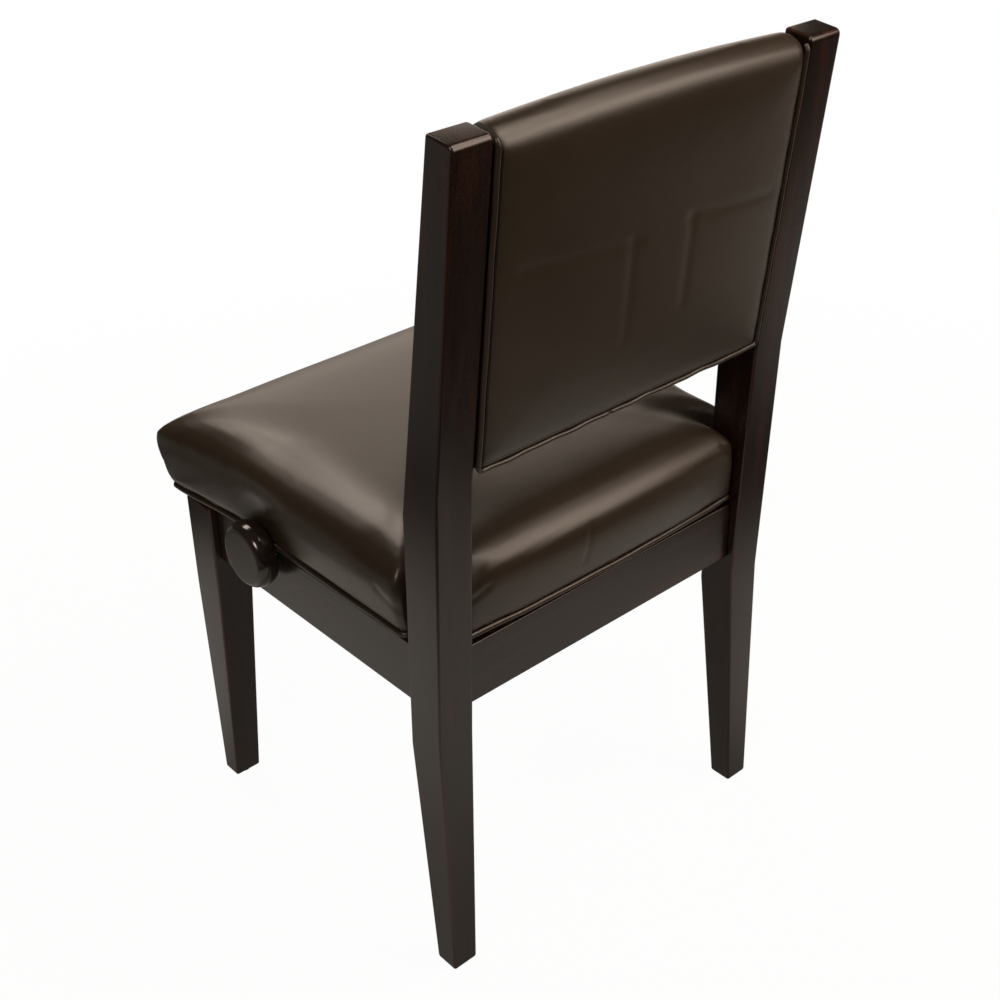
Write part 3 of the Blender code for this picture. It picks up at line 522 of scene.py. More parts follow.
def normals_of(mesh):
    flat = np.empty(len(mesh.vertices) * 3)
    mesh.vertex_normals.foreach_get("vector", flat)
    return flat.reshape(-1, 3)


def arc(centre, radius, start, end, count):
    angles = np.radians(np.linspace(start, end, count))
    return [(centre[0] + radius * math.cos(a), centre[1] + radius * math.sin(a)) for a in angles]


def run(start, end, count):
    """Points inside the straight run from start to end."""
    shares = np.linspace(0, 1, count + 2)[1:-1]
    return [tuple(np.array(start) + share * (np.array(end) - np.array(start))) for share in shares]


def linked(pieces, counts):
    """Pieces of an outline, with points added on the straight runs between them."""
    made = list(pieces[0])
    for piece, count in zip(pieces[1:], counts):
        made += run(made[-1], piece[0], count) + list(piece)
    return made


def mirrored(half):
    """The whole outline from its half on +X, whose first and last points lie in the middle."""
    return half + [(-x, y) for x, y in reversed(half[1:-1])]


def spline_rows(rows, count):
    """Rows of a smooth skin over control rows: a cubic B-spline that is held at both ends."""
    rows = [np.array(row, float) for row in rows]
    held = np.array([rows[0]] * 2 + rows + [rows[-1]] * 2)
    spans = len(held) - 3
    made = []
    for t in np.linspace(0, spans, count):
        i = min(int(t), spans - 1)
        u = t - i
        weights = np.array([
            (1 - u) ** 3, 3 * u ** 3 - 6 * u ** 2 + 4, -3 * u ** 3 + 3 * u ** 2 + 3 * u + 1, u ** 3
        ])
        made.append(np.tensordot(weights / 6, held[i:i + 4], 1))
    return made


def skin(name, rows):
    """A closed skin through rows of equal count, whose first and last rows each draw in to a point."""
    shape = bmesh.new()
    loops = [[shape.verts.new(point) for point in row] for row in rows]
    for below, above in zip(loops, loops[1:]):
        for i in range(len(below)):
            j = (i + 1) % len(below)
            shape.faces.new((below[i], below[j], above[j], above[i]))
    return mesh_of(shape, name)


def tube(name, path, radii, closed=False, sides=14):
    """A round tube along a path, with a radius for each point and domed ends where it is open."""
    path = np.array(path, float)
    count = len(path)
    radii = np.broadcast_to(radii, count)
    if closed:
        tangents = np.roll(path, -1, 0) - np.roll(path, 1, 0)
    else:
        tangents = np.gradient(path, axis=0)
    tangents /= np.linalg.norm(tangents, axis=1)[:, None]
    up = np.array([0.0, 0.0, 1.0]) if abs(tangents[0][2]) < 0.9 else np.array([1.0, 0.0, 0.0])
    side = np.cross(tangents[0], up)
    shape = bmesh.new()
    loops = []
    turns = np.linspace(0, 2 * math.pi, sides, endpoint=False)
    for i in range(count):
        side = side - tangents[i] * (side @ tangents[i])
        side /= np.linalg.norm(side)
        other = np.cross(tangents[i], side)
        ring = path[i] + radii[i] * (np.cos(turns)[:, None] * side + np.sin(turns)[:, None] * other)
        loops.append([shape.verts.new(point) for point in ring])
    pairs = list(zip(loops, loops[1:])) + ([(loops[-1], loops[0])] if closed else [])
    for below, above in pairs:
        shift = 0
        if closed and above is loops[0]:
            gaps = [(below[0].co - vertex.co).length for vertex in above]
            shift = gaps.index(min(gaps))
        for i in range(sides):
            j = (i + 1) % sides
            upper = (above[(j + shift) % sides], above[(i + shift) % sides])
            shape.faces.new((below[i], below[j], *upper))
    if not closed:
        ends = ((loops[0], -tangents[0], radii[0]), (loops[-1], tangents[-1], radii[-1]))
        for loop, tangent, radius in ends:
            middle = sum((vertex.co for vertex in loop), Vector()) / sides
            tip = shape.verts.new(middle + Vector(tangent) * radius * 0.6)
            for i in range(sides):
                shape.faces.new((loop[i], loop[(i + 1) % sides], tip))
    return mesh_of(shape, name)


# A cushion's cover: its cloth, the size of its even faces, and how much of its unevenness stays
CLOTH = {
    "quality": 6, "mass": 0.35, "tension_stiffness": 18, "compression_stiffness": 18, "shear_stiffness": 8,
    "bending_stiffness": 0.6, "use_pressure": True, "vertex_group_mass": "held",
}
CLOTH_FRAMES = 20
VOXEL = 0.005
WRINKLES = 0.12
EVENING = 60


def inflate(mesh, held, pressure, swell):
    """Fills a closed cover by cloth pressure, then holds back what moved further than swell allows."""
    start = points_of(mesh)
    obj = bpy.data.objects.new("filling", mesh)
    scene = bpy.context.scene
    scene.collection.objects.link(obj)
    group = obj.vertex_groups.new(name="held")
    group.add([int(i) for i in np.nonzero(held)[0]], 1.0, "REPLACE")
    cloth = obj.modifiers.new("filling", "CLOTH")
    for name, value in CLOTH.items():
        setattr(cloth.settings, name, value)
    cloth.settings.uniform_pressure_force = pressure
    cloth.settings.effector_weights.gravity = 0
    cloth.collision_settings.use_collision = False
    cloth.point_cache.frame_start = 1
    cloth.point_cache.frame_end = CLOTH_FRAMES
    for frame in range(1, CLOTH_FRAMES + 1):
        scene.frame_set(frame)
    shaped = obj.evaluated_get(bpy.context.evaluated_depsgraph_get())
    moved = points_of(shaped.data) - start
    obj.modifiers.remove(cloth)
    scene.frame_set(1)
    length = np.linalg.norm(moved, axis=1)
    moved *= (swell * np.tanh(length / swell) / np.maximum(length, 1e-9))[:, None]
    moved = moved * WRINKLES + evened(mesh, moved, held, EVENING) * (1 - WRINKLES)
    put_points(mesh, start + moved)
    bpy.data.objects.remove(obj, do_unlink=True)


def modified(mesh, name, kind, **settings):
    """The mesh after one modifier."""
    obj = bpy.data.objects.new(name, mesh)
    bpy.context.scene.collection.objects.link(obj)
    step = obj.modifiers.new(name, kind)
    for key, value in settings.items():
        setattr(step, key, value)
    made = baked(obj, name)
    bpy.data.objects.remove(obj, do_unlink=True)
    return made


def remeshed(mesh, name):
    """An even skin over a mesh."""
    return modified(mesh, name, "REMESH", mode="VOXEL", voxel_size=VOXEL)


def divided(mesh, name):
    """The mesh after one step of subdivision."""
    return modified(mesh, name, "SUBSURF", levels=1, render_levels=1)


def baked(obj, name):
    """The evaluated object as a plain mesh."""
    graph = bpy.context.evaluated_depsgraph_get()
    made = bpy.data.meshes.new_from_object(obj.evaluated_get(graph), depsgraph=graph)
    made.name = name
    return made


def evened(mesh, values, keep, rounds, share=0.5):
    """Values at the points, drawn towards their neighbours' mean; those in keep stay."""
    ends = np.empty(len(mesh.edges) * 2, dtype=np.int64)
    mesh.edges.foreach_get("vertices", ends)
    first, second = ends.reshape(-1, 2).T
    many = len(values)
    count = np.bincount(ends, minlength=many)
    for _ in range(rounds):
        total = []
        for part in values.T:
            total.append(np.bincount(first, part[second], many) + np.bincount(second, part[first], many))
        mean = np.array(total).T / count[:, None]
        values = np.where(keep[:, None], values, values + share * (mean - values))
    return values


def relax(mesh, keep, rounds):
    """Evens out small bumps; points in keep stay."""
    put_points(mesh, evened(mesh, points_of(mesh), keep, rounds))


def press(mesh, marks):
    """Presses creases into a cover. A mark is (start, end, width, depth)."""
    points = points_of(mesh)
    normals = normals_of(mesh)
    for start, end, width, depth in marks:
        start = np.array(start)
        along = np.array(end) - start
        share = np.clip((points - start) @ along / (along @ along), 0, 1)
        off = np.linalg.norm(points - start - share[:, None] * along, axis=1)
        points = points - normals * (depth * np.exp(-(off / width) ** 2))[:, None]
    put_points(mesh, points)


# Geometry Nodes

class Recipe:
    """A Geometry Nodes tree in the making, with named inputs."""

    def __init__(self, name, inputs):
        self.tree = bpy.data.node_groups.new(name, "GeometryNodeTree")
        self.tree.is_modifier = True
        face = self.tree.interface
        face.new_socket("Geometry", in_out="INPUT", socket_type="NodeSocketGeometry")
        for title, kind in inputs.items():
            face.new_socket(title, in_out="INPUT", socket_type=kind)
        face.new_socket("Geometry", in_out="OUTPUT", socket_type="NodeSocketGeometry")
        self.start = self.tree.nodes.new("NodeGroupInput")
        self.end = self.tree.nodes.new("NodeGroupOutput")

    def given(self, title):
        return self.start.outputs[title]

    def node(self, kind, settings=None, inputs=None):
        made = self.tree.nodes.new(kind)
        for name, value in (settings or {}).items():
            setattr(made, name, value)
        for name, value in (inputs or {}).items():
            for one in value if isinstance(value, list) else [value]:
                if isinstance(one, bpy.types.NodeSocket):
                    self.tree.links.new(one, made.inputs[name])
                else:
                    made.inputs[name].default_value = one
        return made.outputs[0]

    def number(self, operation, first, second):
        return self.node("ShaderNodeMath", {"operation": operation}, {0: first, 1: second})

    def vector(self, x, y, z):
        return self.node("ShaderNodeCombineXYZ", None, {"X": x, "Y": y, "Z": z})

    def on_points(self, shape):
        """Ends in a copy of the shape on each point, turned to the point's facing."""
        kind = {"data_type": "FLOAT_VECTOR"}
        facing = self.node("GeometryNodeInputNamedAttribute", kind, {"Name": "facing"})
        turn = self.node("FunctionNodeAlignRotationToVector", {"axis": "Z"}, {"Vector": facing})
        inputs = {"Points": self.given("Geometry"), "Instance": shape, "Rotation": turn}
        self.close(self.node("GeometryNodeInstanceOnPoints", None, inputs))

    def close(self, geometry):
        """Ends in plain geometry with the given material."""
        plain = self.node("GeometryNodeRealizeInstances", None, {"Geometry": geometry})
        inputs = {"Geometry": plain, "Material": self.given("Material")}
        done = self.node("GeometryNodeSetMaterial", None, inputs)
        self.tree.links.new(done, self.end.inputs[0])

    def make(self, name, mesh, values):
        """A plain mesh from the tree over a starting mesh."""
        obj = bpy.data.objects.new(name, mesh)
        bpy.context.scene.collection.objects.link(obj)
        step = obj.modifiers.new(name, "NODES")
        step.node_group = self.tree
        for item in self.tree.interface.items_tree:
            if item.in_out == "INPUT" and item.name in values:
                step[item.identifier] = values[item.name]
        made = baked(obj, name)
        obj.modifiers.remove(step)
        bpy.data.objects.remove(obj, do_unlink=True)
        return made


def stitch_recipe():
    """Short thread stitches along a path, spaced by the pitch."""
    recipe = Recipe("row_of_stitches", {
        "Pitch": "NodeSocketFloat",
        "Thickness": "NodeSocketFloat",
        "Material": "NodeSocketMaterial",
    })
    curve = recipe.node("GeometryNodeMeshToCurve", None, {"Mesh": recipe.given("Geometry")})
    steps = recipe.node(
        "GeometryNodeResampleCurve", {"mode": "LENGTH"}, {"Curve": curve, "Length": recipe.given("Pitch")}
    )
    bead = recipe.node("GeometryNodeMeshUVSphere", None, {"Segments": 8, "Rings": 6, "Radius": 1.0})
    long = recipe.number("MULTIPLY", recipe.given("Pitch"), 0.40)
    thick = recipe.given("Thickness")
    size = recipe.vector(long, thick, thick)
    stitch = recipe.node("GeometryNodeTransform", None, {"Geometry": bead, "Scale": size})
    tangent = recipe.node("GeometryNodeInputTangent")
    turn = recipe.node("FunctionNodeAlignRotationToVector", {"axis": "X"}, {"Vector": tangent})
    row = recipe.node(
        "GeometryNodeInstanceOnPoints", None, {"Points": steps, "Instance": stitch, "Rotation": turn}
    )
    recipe.close(row)
    return recipe


def fastener_recipe():
    """Pan-head screws with a cross recess on points, each turned to the point's facing."""
    recipe = Recipe("pan_head_screws", {
        "Radius": "NodeSocketFloat",
        "Material": "NodeSocketMaterial",
    })
    radius = recipe.given("Radius")
    ball = recipe.node("GeometryNodeMeshUVSphere", None, {"Segments": 20, "Rings": 12, "Radius": 1.0})
    squat = recipe.vector(radius, radius, recipe.number("MULTIPLY", radius, 0.62))
    dome = recipe.node("GeometryNodeTransform", None, {"Geometry": ball, "Scale": squat})
    wide = recipe.number("MULTIPLY", radius, 4.0)
    half = recipe.number("MULTIPLY", radius, 2.0)
    block = recipe.node("GeometryNodeMeshCube", None, {"Size": recipe.vector(wide, wide, wide)})
    above = recipe.node(
        "GeometryNodeTransform", None, {"Geometry": block, "Translation": recipe.vector(0.0, 0.0, half)}
    )
    head = recipe.node("GeometryNodeMeshBoolean", {"operation": "INTERSECT"}, {"Mesh 2": [dome, above]})
    long = recipe.number("MULTIPLY", radius, 1.15)
    slim = recipe.number("MULTIPLY", radius, 0.24)
    deep = recipe.number("MULTIPLY", radius, 0.7)
    lift = recipe.vector(0.0, 0.0, recipe.number("MULTIPLY", radius, 0.68))
    for size in (recipe.vector(long, slim, deep), recipe.vector(slim, long, deep)):
        bar = recipe.node("GeometryNodeMeshCube", None, {"Size": size})
        bar = recipe.node("GeometryNodeTransform", None, {"Geometry": bar, "Translation": lift})
        head = recipe.node(
            "GeometryNodeMeshBoolean", {"operation": "DIFFERENCE"}, {"Mesh 1": head, "Mesh 2": bar}
        )
    recipe.on_points(head)
    return recipe


def washer_recipe():
    """Flat washers on points, each turned to the point's facing."""
    recipe = Recipe("washers", {
        "Radius": "NodeSocketFloat",
        "Thickness": "NodeSocketFloat",
        "Material": "NodeSocketMaterial",
    })
    radius = recipe.given("Radius")
    thick = recipe.given("Thickness")
    inputs = {"Vertices": 24, "Radius": radius, "Depth": thick}
    disc = recipe.node("GeometryNodeMeshCylinder", None, inputs)
    lift = recipe.vector(0.0, 0.0, recipe.number("MULTIPLY", thick, 0.5))
    disc = recipe.node("GeometryNodeTransform", None, {"Geometry": disc, "Translation": lift})
    inputs = {
        "Vertices": 24,
        "Radius Top": recipe.number("MULTIPLY", radius, 0.45),
        "Radius Bottom": recipe.number("MULTIPLY", radius, 0.60),
        "Depth": recipe.number("MULTIPLY", thick, 1.5),
    }
    tip = recipe.node("GeometryNodeMeshCone", None, inputs)
    tip = recipe.node("GeometryNodeTransform", None, {"Geometry": tip, "Translation": lift})
    both = recipe.node("GeometryNodeMeshBoolean", {"operation": "UNION"}, {"Mesh 2": [disc, tip]})
    recipe.on_points(both)
    return recipe


def thread_recipe():
    """A rod along Z whose skin follows a right-hand thread, plain near both ends."""
    recipe = Recipe("lead_screw_thread", {
        "Radius": "NodeSocketFloat",
        "Length": "NodeSocketFloat",
        "Plain Ends": "NodeSocketFloat",
        "Pitch": "NodeSocketFloat",
        "Depth": "NodeSocketFloat",
        "Material": "NodeSocketMaterial",
    })
    length = recipe.given("Length")
    rows = recipe.number("MULTIPLY", recipe.number("DIVIDE", length, recipe.given("Pitch")), 8.0)
    inputs = {"Vertices": 24, "Side Segments": rows, "Radius": recipe.given("Radius"), "Depth": length}
    rod = recipe.node("GeometryNodeMeshCylinder", None, inputs)
    place = recipe.node("GeometryNodeInputPosition")
    parts = recipe.node("ShaderNodeSeparateXYZ", None, {"Vector": place}).node
    x, y, z = parts.outputs
    angle = recipe.number("ARCTAN2", y, x)
    turn = recipe.number("DIVIDE", angle, 2 * math.pi)
    share = recipe.number("SUBTRACT", recipe.number("DIVIDE", z, recipe.given("Pitch")), turn)
    wave = recipe.number("PINGPONG", share, 0.5)
    reach = recipe.number("SUBTRACT", recipe.number("MULTIPLY", length, 0.5), recipe.given("Plain Ends"))
    height = recipe.node("ShaderNodeMath", {"operation": "ABSOLUTE"}, {0: z})
    inside = recipe.number("LESS_THAN", height, reach)
    sunk = recipe.number("MULTIPLY", recipe.number("MULTIPLY", wave, 2.0), recipe.given("Depth"))
    sunk = recipe.number("MULTIPLY", sunk, inside)
    shrink = recipe.number("SUBTRACT", 1.0, recipe.number("DIVIDE", sunk, recipe.given("Radius")))
    new = recipe.vector(recipe.number("MULTIPLY", x, shrink), recipe.number("MULTIPLY", y, shrink), z)
    recipe.close(recipe.node("GeometryNodeSetPosition", None, {"Geometry": rod, "Position": new}))
    return recipe


def facing_points(name, spots):
    """A mesh of loose points with a facing for each, from (place, facing) pairs."""
    mesh = bpy.data.meshes.new(name)
    mesh.from_pydata([place for place, _ in spots], [], [])
    facing = mesh.attributes.new("facing", "FLOAT_VECTOR", "POINT")
    for item, (_, way) in zip(facing.data, spots):
        item.vector = way
    return mesh


def path_mesh(name, points, closed=False):
    mesh = bpy.data.meshes.new(name)
    count = len(points)
    edges = [(i, i + 1) for i in range(count - 1)]
    if closed:
        edges.append((count - 1, 0))
    mesh.from_pydata([tuple(point) for point in points], edges, [])
    return mesh


# Seat

def seat_side(y, wide, flare, dent):
    """How far the seat's side stands out at y: it flares to the front and is pressed in at the knob."""
    ahead = min(max((SCREW_Y - DENT_REACH * 0.6 - y) / SEAT_FLARE_RUN, 0.0), 1.0)
    off = min(abs(y - SCREW_Y) / (DENT_REACH * 1.15), 1.0)
    return wide + flare * ahead ** 1.4 - dent * math.cos(off * math.pi / 2) ** 2


def seat_plan(level, inset=0.0, dent=0.0):
    """The seat's plan, anticlockwise from the middle of its front, notched round the rear posts.

    level is 0 at the seam and 1 where the cushion is widest.
    """
    wide = SEAT_SIDE + level * SEAT_BULGE_SIDE - inset
    flare = SEAT_FLARE + level * SEAT_FLARE_GROWTH
    corner = wide + flare
    tongue = SEAT_TONGUE - inset
    front = SEAT_FRONT - level * SEAT_BULGE_FRONT + inset
    notch = SEAT_NOTCH - inset
    rear = SEAT_REAR + level * SEAT_BULGE_REAR - inset
    rise = SEAT_BOW + level * SEAT_BULGE_REAR
    big, small, tight = SEAT_CORNER_FRONT, SEAT_CORNER_POST, SEAT_CORNER_REAR
    inside = SEAT_CORNER_NOTCH
    side = np.linspace(front + big, notch - small, 62)[1:-1]
    bow = [(x, rear + rise * (1 - (x / tongue) ** 2)) for x in np.linspace(tongue - tight, 0, 30)[1:]]
    return mirrored(linked(
        [
            [(0, front)],
            arc((corner - big, front + big), big, -90, 0, 10),
            [(seat_side(y, wide, flare, dent), y) for y in side],
            arc((wide - small, notch - small), small, 0, 90, 8),
            arc((tongue + inside, notch + inside), inside, -90, -180, 4),
            arc((tongue - tight, rear - tight), tight, 0, 90, 7),
            bow,
        ],
        [34, 0, 0, 5, 7, 0],
    ))


def seat_row(level, share, height, dent=0.0, drop=0.0):
    """One row of the cushion: the plan drawn in towards its middle and lowered at its corners."""
    middle = np.array([0, (SEAT_FRONT + SEAT_REAR) / 2])
    made = []
    for point in seat_plan(level, dent=dent):
        away = (np.array(point) - middle) * share
        corner = (away[0] / HALF * away[1] / (SEAT_FRONT - middle[1])) ** 4
        made.append((away[0], middle[1] + away[1], SEAM + height - drop * corner))
    return made


def both_sides(start, end, width, depth):
    """A mark and its mirror image."""
    return [((sign * start[0], *start[1:]), (sign * end[0], *end[1:]), width, depth) for _, sign in SIDES]


# Dips and creases in the seat's cover, as (start, end, width, depth)
SEAT_MARKS = (
    *both_sides((0.2380, 0.1500, 0.4800), (0.2380, 0.1050, 0.4840), 0.0220, 0.0050),
    ((0.1880, 0.1980, 0.4720), (0.1760, 0.2010, 0.4700), 0.0150, 0.0028),
    ((0.0420, 0.2070, 0.4270), (0.0340, 0.2090, 0.4660), 0.0035, 0.0007),
    ((0.1870, 0.2000, 0.4410), (0.1600, 0.2040, 0.4520), 0.0040, 0.0010),
    ((-0.1860, 0.2000, 0.4480), (-0.1680, 0.1990, 0.4720), 0.0045, 0.0014),
    *both_sides((0.1920, 0.1560, 0.4500), (0.1800, 0.1430, 0.4880), 0.0050, 0.0020),
    *both_sides((0.2330, 0.1520, 0.4330), (0.2340, 0.1250, 0.4450), 0.0045, 0.0007),
)

# Smoothing leaves the cover alone this near the seam, and the filling this near seam, posts and knobs.
# A knob counts only further than KNOB_INSIDE from the chair's middle.
SEAT_FIRM_SEAM = 0.004
SEAT_HELD_SEAM = 0.009
SEAT_HELD_POST = (0.006, 0.008)
SEAT_HELD_KNOB = 0.012
KNOB_INSIDE = 0.19

# Sewing
PIPING_GAP = 0.0003
# The piping's vinyl is this share as bright as the cover's: painted shade.
PIPING_PAINTED_SHADE = 0.9
SEAT_PIPING_WAVES = ((0.00025, 17, 0.6), (0.0002, 31, 0))
SEAT_STITCH_UP = 0.0045
SEAT_THREAD = 0.00042
THREAD_PROUD = 0.0001


def seat_cover():
    """The filled cover of the seat."""
    settings = bpy.context.scene.chair_upholstery
    low = settings.swell * 0.5
    rows = [
        seat_row(0, 1.0, 0),
        seat_row(0.3, 1.0, 0.009, SEAT_DENT * 0.6),
        seat_row(0.75, 1.0, 0.034, SEAT_DENT),
        seat_row(1.0, 1.0, 0.060, SEAT_DENT * 0.3),
        seat_row(1.0, 0.962, 0.0768 - low, 0, 0.005),
        seat_row(1.0, 0.875, 0.0872 - low, 0, 0.004),
        seat_row(1.0, 0.72, 0.0921 - low),
        seat_row(1.0, 0.42, 0.0945 - low),
        seat_row(1.0, 0.0, 0.0950 - low),
    ]
    flat = [seat_row(0, 0.0, 0.0003), seat_row(0, 0.55, 0.0003)]
    mesh = remeshed(skin("seat_form", flat + spline_rows(rows, 44)), "seat_cover")
    points = points_of(mesh)
    across, rear, height = points.T
    by_post = (np.abs(across) > SEAT_TONGUE - SEAT_HELD_POST[0]) & (rear > SEAT_NOTCH - SEAT_HELD_POST[1])
    by_knob = np.hypot(rear - SCREW_Y, height - SCREW_Z) < KNOB_RADIUS + SEAT_HELD_KNOB
    by_knob &= np.abs(across) > KNOB_INSIDE
    held = (height < SEAM + SEAT_HELD_SEAM) | by_post | by_knob
    inflate(mesh, held, settings.filling, settings.swell)
    relax(mesh, height < SEAM + SEAT_FIRM_SEAM, 1)
    mesh = divided(mesh, "seat_cover")
    press(mesh, SEAT_MARKS)
    return mesh


def sway(along, waves):
    """Small unevenness along a seam, from waves of (size, turns, start)."""
    return sum(size * np.sin(turns * along + start) for size, turns, start in waves)


def on_surface(mesh, points):
    """Points moved to the nearest place on a mesh, and a little out from it."""
    tree = BVHTree.FromPolygons(
        [vertex.co for vertex in mesh.vertices], [tuple(face.vertices) for face in mesh.polygons]
    )
    made = []
    for point in points:
        place, normal, _, _ = tree.find_nearest(Vector(point))
        made.append(place + normal * THREAD_PROUD)
    return made


class CHAIR_OT_seat(bpy.types.Operator):
    """Fills the seat's cushion and sews its piping and stitches"""
    bl_idname = "chair.seat"
    bl_label = "Seat upholstery"

    def execute(self, context):
        settings = context.scene.chair_upholstery
        cover = seat_cover()
        cushion = finished("seat_upholstery", cover, "seat", vinyl("seat_vinyl", seam=seat_seam), None)
        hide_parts("seat_cushion")
        radius = settings.seat_piping
        level = SEAM - PIPING_GAP - radius
        path = np.array([(x, y, level) for x, y in seat_plan(0, inset=radius * 0.6)])
        along = np.linspace(0, 2 * math.pi, len(path), endpoint=False)
        path[:, 2] += sway(along, SEAT_PIPING_WAVES)
        welt = tube("seat_welt", path, radius, closed=True)
        piping = finished("seat_welt", welt, "seat", vinyl("seat_welt_vinyl", PIPING_PAINTED_SHADE), None)
        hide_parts("seat_piping")
        line = on_surface(cover, [(x, y, SEAM + SEAT_STITCH_UP) for x, y in seat_plan(0.1)])
        values = {"Pitch": settings.stitch, "Thickness": SEAT_THREAD, "Material": thread_finish()}
        row = stitch_recipe().make("seat_stitches", path_mesh("seat_seam", line, True), values)
        stitches = finished("seat_stitches", row, "seat", values["Material"], None)
        return {"FINISHED"}


# Back

def back_place(x, out, up):
    """A point on the back: across, out from the posts' back edge, and up along the rake."""
    cos, sin = math.cos(BACK_RAKE), math.sin(BACK_RAKE)
    out += BACK_PROUD
    return (x, BACK_BASE[0] + out * cos + up * sin, BACK_BASE[1] - out * sin + up * cos)


def back_plan(inset, rise, drop):
    """The panel's outline, anticlockwise from the middle of its bottom edge, as (across, up)."""
    wide = BACK_HALF - inset
    high = BACK_LENGTH - drop
    corner, top = BACK_EDGE * 0.7, BACK_EDGE
    side = wide - top
    arch = [(x, high + BACK_ARCH * (1 - (x / side) ** 2)) for x in np.linspace(side, 0, 30)[1:]]
    return mirrored(linked(
        [
            [(0, rise)],
            arc((wide - corner, rise + corner), corner, -90, 0, 7),
            arc((wide - top, high - top), top, 0, 90, 8),
            arch,
        ],
        [26, 40, 0],
    ))


def back_row(inset, rise, drop, out, share=1.0):
    """One row of the panel: its outline, out from the posts and drawn in towards its middle."""
    middle = np.array([0, BACK_LENGTH / 2])
    made = []
    for point in back_plan(inset, rise, drop):
        drawn = middle + (np.array(point) - middle) * share
        made.append(back_place(drawn[0], out, drawn[1]))
    return made


# Creases in the back's cover, as two places of (across, up)
CREASE_OUT = 0.004
CREASE_WIDTH = 0.0060
CREASE_DEPTH = 0.0006
BACK_CREASES = (
    ((0.150, 0.1890), (0.015, 0.1770)),
    ((0.024, 0.1800), (0.0225, 0.0820)),
    ((-0.0510, 0.1820), (-0.0505, 0.0960)),
    ((-0.0480, 0.1830), (-0.1600, 0.1730)),
)
BACK_HELD = 0.008

# The back's piping: how deep it sits, how it sways, and the joint of its two ends
PIPING_PROUD = 0.0003
PIPING_SINK = 0.0014
PIPING_STEPS = 900
BACK_PIPING_WAVES = ((0.0004, 73, 0), (0.0003, 131, 1.1))
JOINT_X = 0.023
JOINT_WIDTH = 0.0013
JOINT_DEPTH = 0.8

# The back's stitches, in from its sides, up from its bottom and out from the panel's plane
BACK_STITCH_IN = 0.0062
BACK_STITCH_UP = 0.0085
BACK_STITCH_OUT = 0.002
BACK_THREAD = 0.00036


def back_cover():
    """The filled cover of the back panel."""
    settings = bpy.context.scene.chair_upholstery
    low = settings.swell * 0.4
    edge, roll, middle = BACK_EDGE, BACK_ROLL, BACK_ROLL_OUT
    front = middle - roll - BACK_FRONT_CROWN + low
    rows = [
        back_row(edge, edge, roll, BACK_CROWN - low, 0.0),
        back_row(edge, edge, roll, BACK_CROWN - low, 0.5),
        back_row(edge * 5, edge * 5, roll * 1.7, 0.0042 - low * 0.5),
        back_row(edge * 2, edge * 2, roll * 0.95, 0.0021 - low * 0.2),
        back_row(edge * 0.8, edge * 0.8, roll * 0.62, 0.0006),
        back_row(edge * 0.15, edge * 0.15, roll * 0.46, -0.0010),
        back_row(-0.0008, -0.0008, roll * 0.22, -0.0060),
        back_row(-0.0008, -0.0008, -roll * 0.06, middle),
        back_row(-0.0008, -0.0008, roll * 0.15, middle - roll * 0.6),
        back_row(edge * 0.8, edge * 0.8, roll * 0.55, middle - roll),
        back_row(edge * 1.5, edge * 1.5, roll, front, 0.62),
        back_row(edge * 1.5, edge * 1.5, roll, front, 0.0),
    ]
    mesh = remeshed(skin("back_form", spline_rows(rows, 64)), "back_cover")
    points = points_of(mesh)
    across, rear, height = points.T
    up = (rear - BACK_BASE[0]) * math.sin(BACK_RAKE) + (height - BACK_BASE[1]) * math.cos(BACK_RAKE)
    held = (np.abs(across) > BACK_HALF - BACK_HELD) | (up < BACK_HELD)
    inflate(mesh, held, settings.filling, settings.swell * 0.8)
    relax(mesh, np.zeros(len(points), bool), 1)
    mesh = divided(mesh, "back_cover")
    marks = []
    for first, last in BACK_CREASES:
        start, end = [back_place(x, CREASE_OUT, up) for x, up in (first, last)]
        marks.append((start, end, CREASE_WIDTH, CREASE_DEPTH))
    press(mesh, marks)
    return mesh


def back_piping_path(radius):
    """Down one edge of the rear face, along its bottom and up the other, ends turned over the top."""
    sink = PIPING_SINK
    wide = BACK_HALF + PIPING_PROUD - sink
    out = radius * 0.4 - sink
    high = BACK_LENGTH - BACK_ROLL * 0.55
    corner = BACK_EDGE
    turn = BACK_ROLL / 3
    half = []
    for degrees in range(54, 0, -6):
        a = math.radians(degrees)
        half.append(back_place(wide, out - turn * (1 - math.cos(a)), high + turn * math.sin(a)))
    flat = [(wide, high)] + run((wide, high), (wide, sink + corner), 60)
    flat += arc((wide - corner, sink + corner), corner, 0, -90, 9)
    flat += run((wide - corner, sink), (0, sink), 60)
    half += [back_place(x, out, up) for x, up in flat]
    other = [(-x, y, z) for x, y, z in reversed(half)]
    rough = np.array(half + [back_place(0, out, sink)] + other)
    along = np.linspace(0, 1, PIPING_STEPS)
    path = np.column_stack([np.interp(along, np.linspace(0, 1, len(rough)), part) for part in rough.T])
    off = sway(along, BACK_PIPING_WAVES)
    return path + np.column_stack((off * 0.4, 0 * off, off))


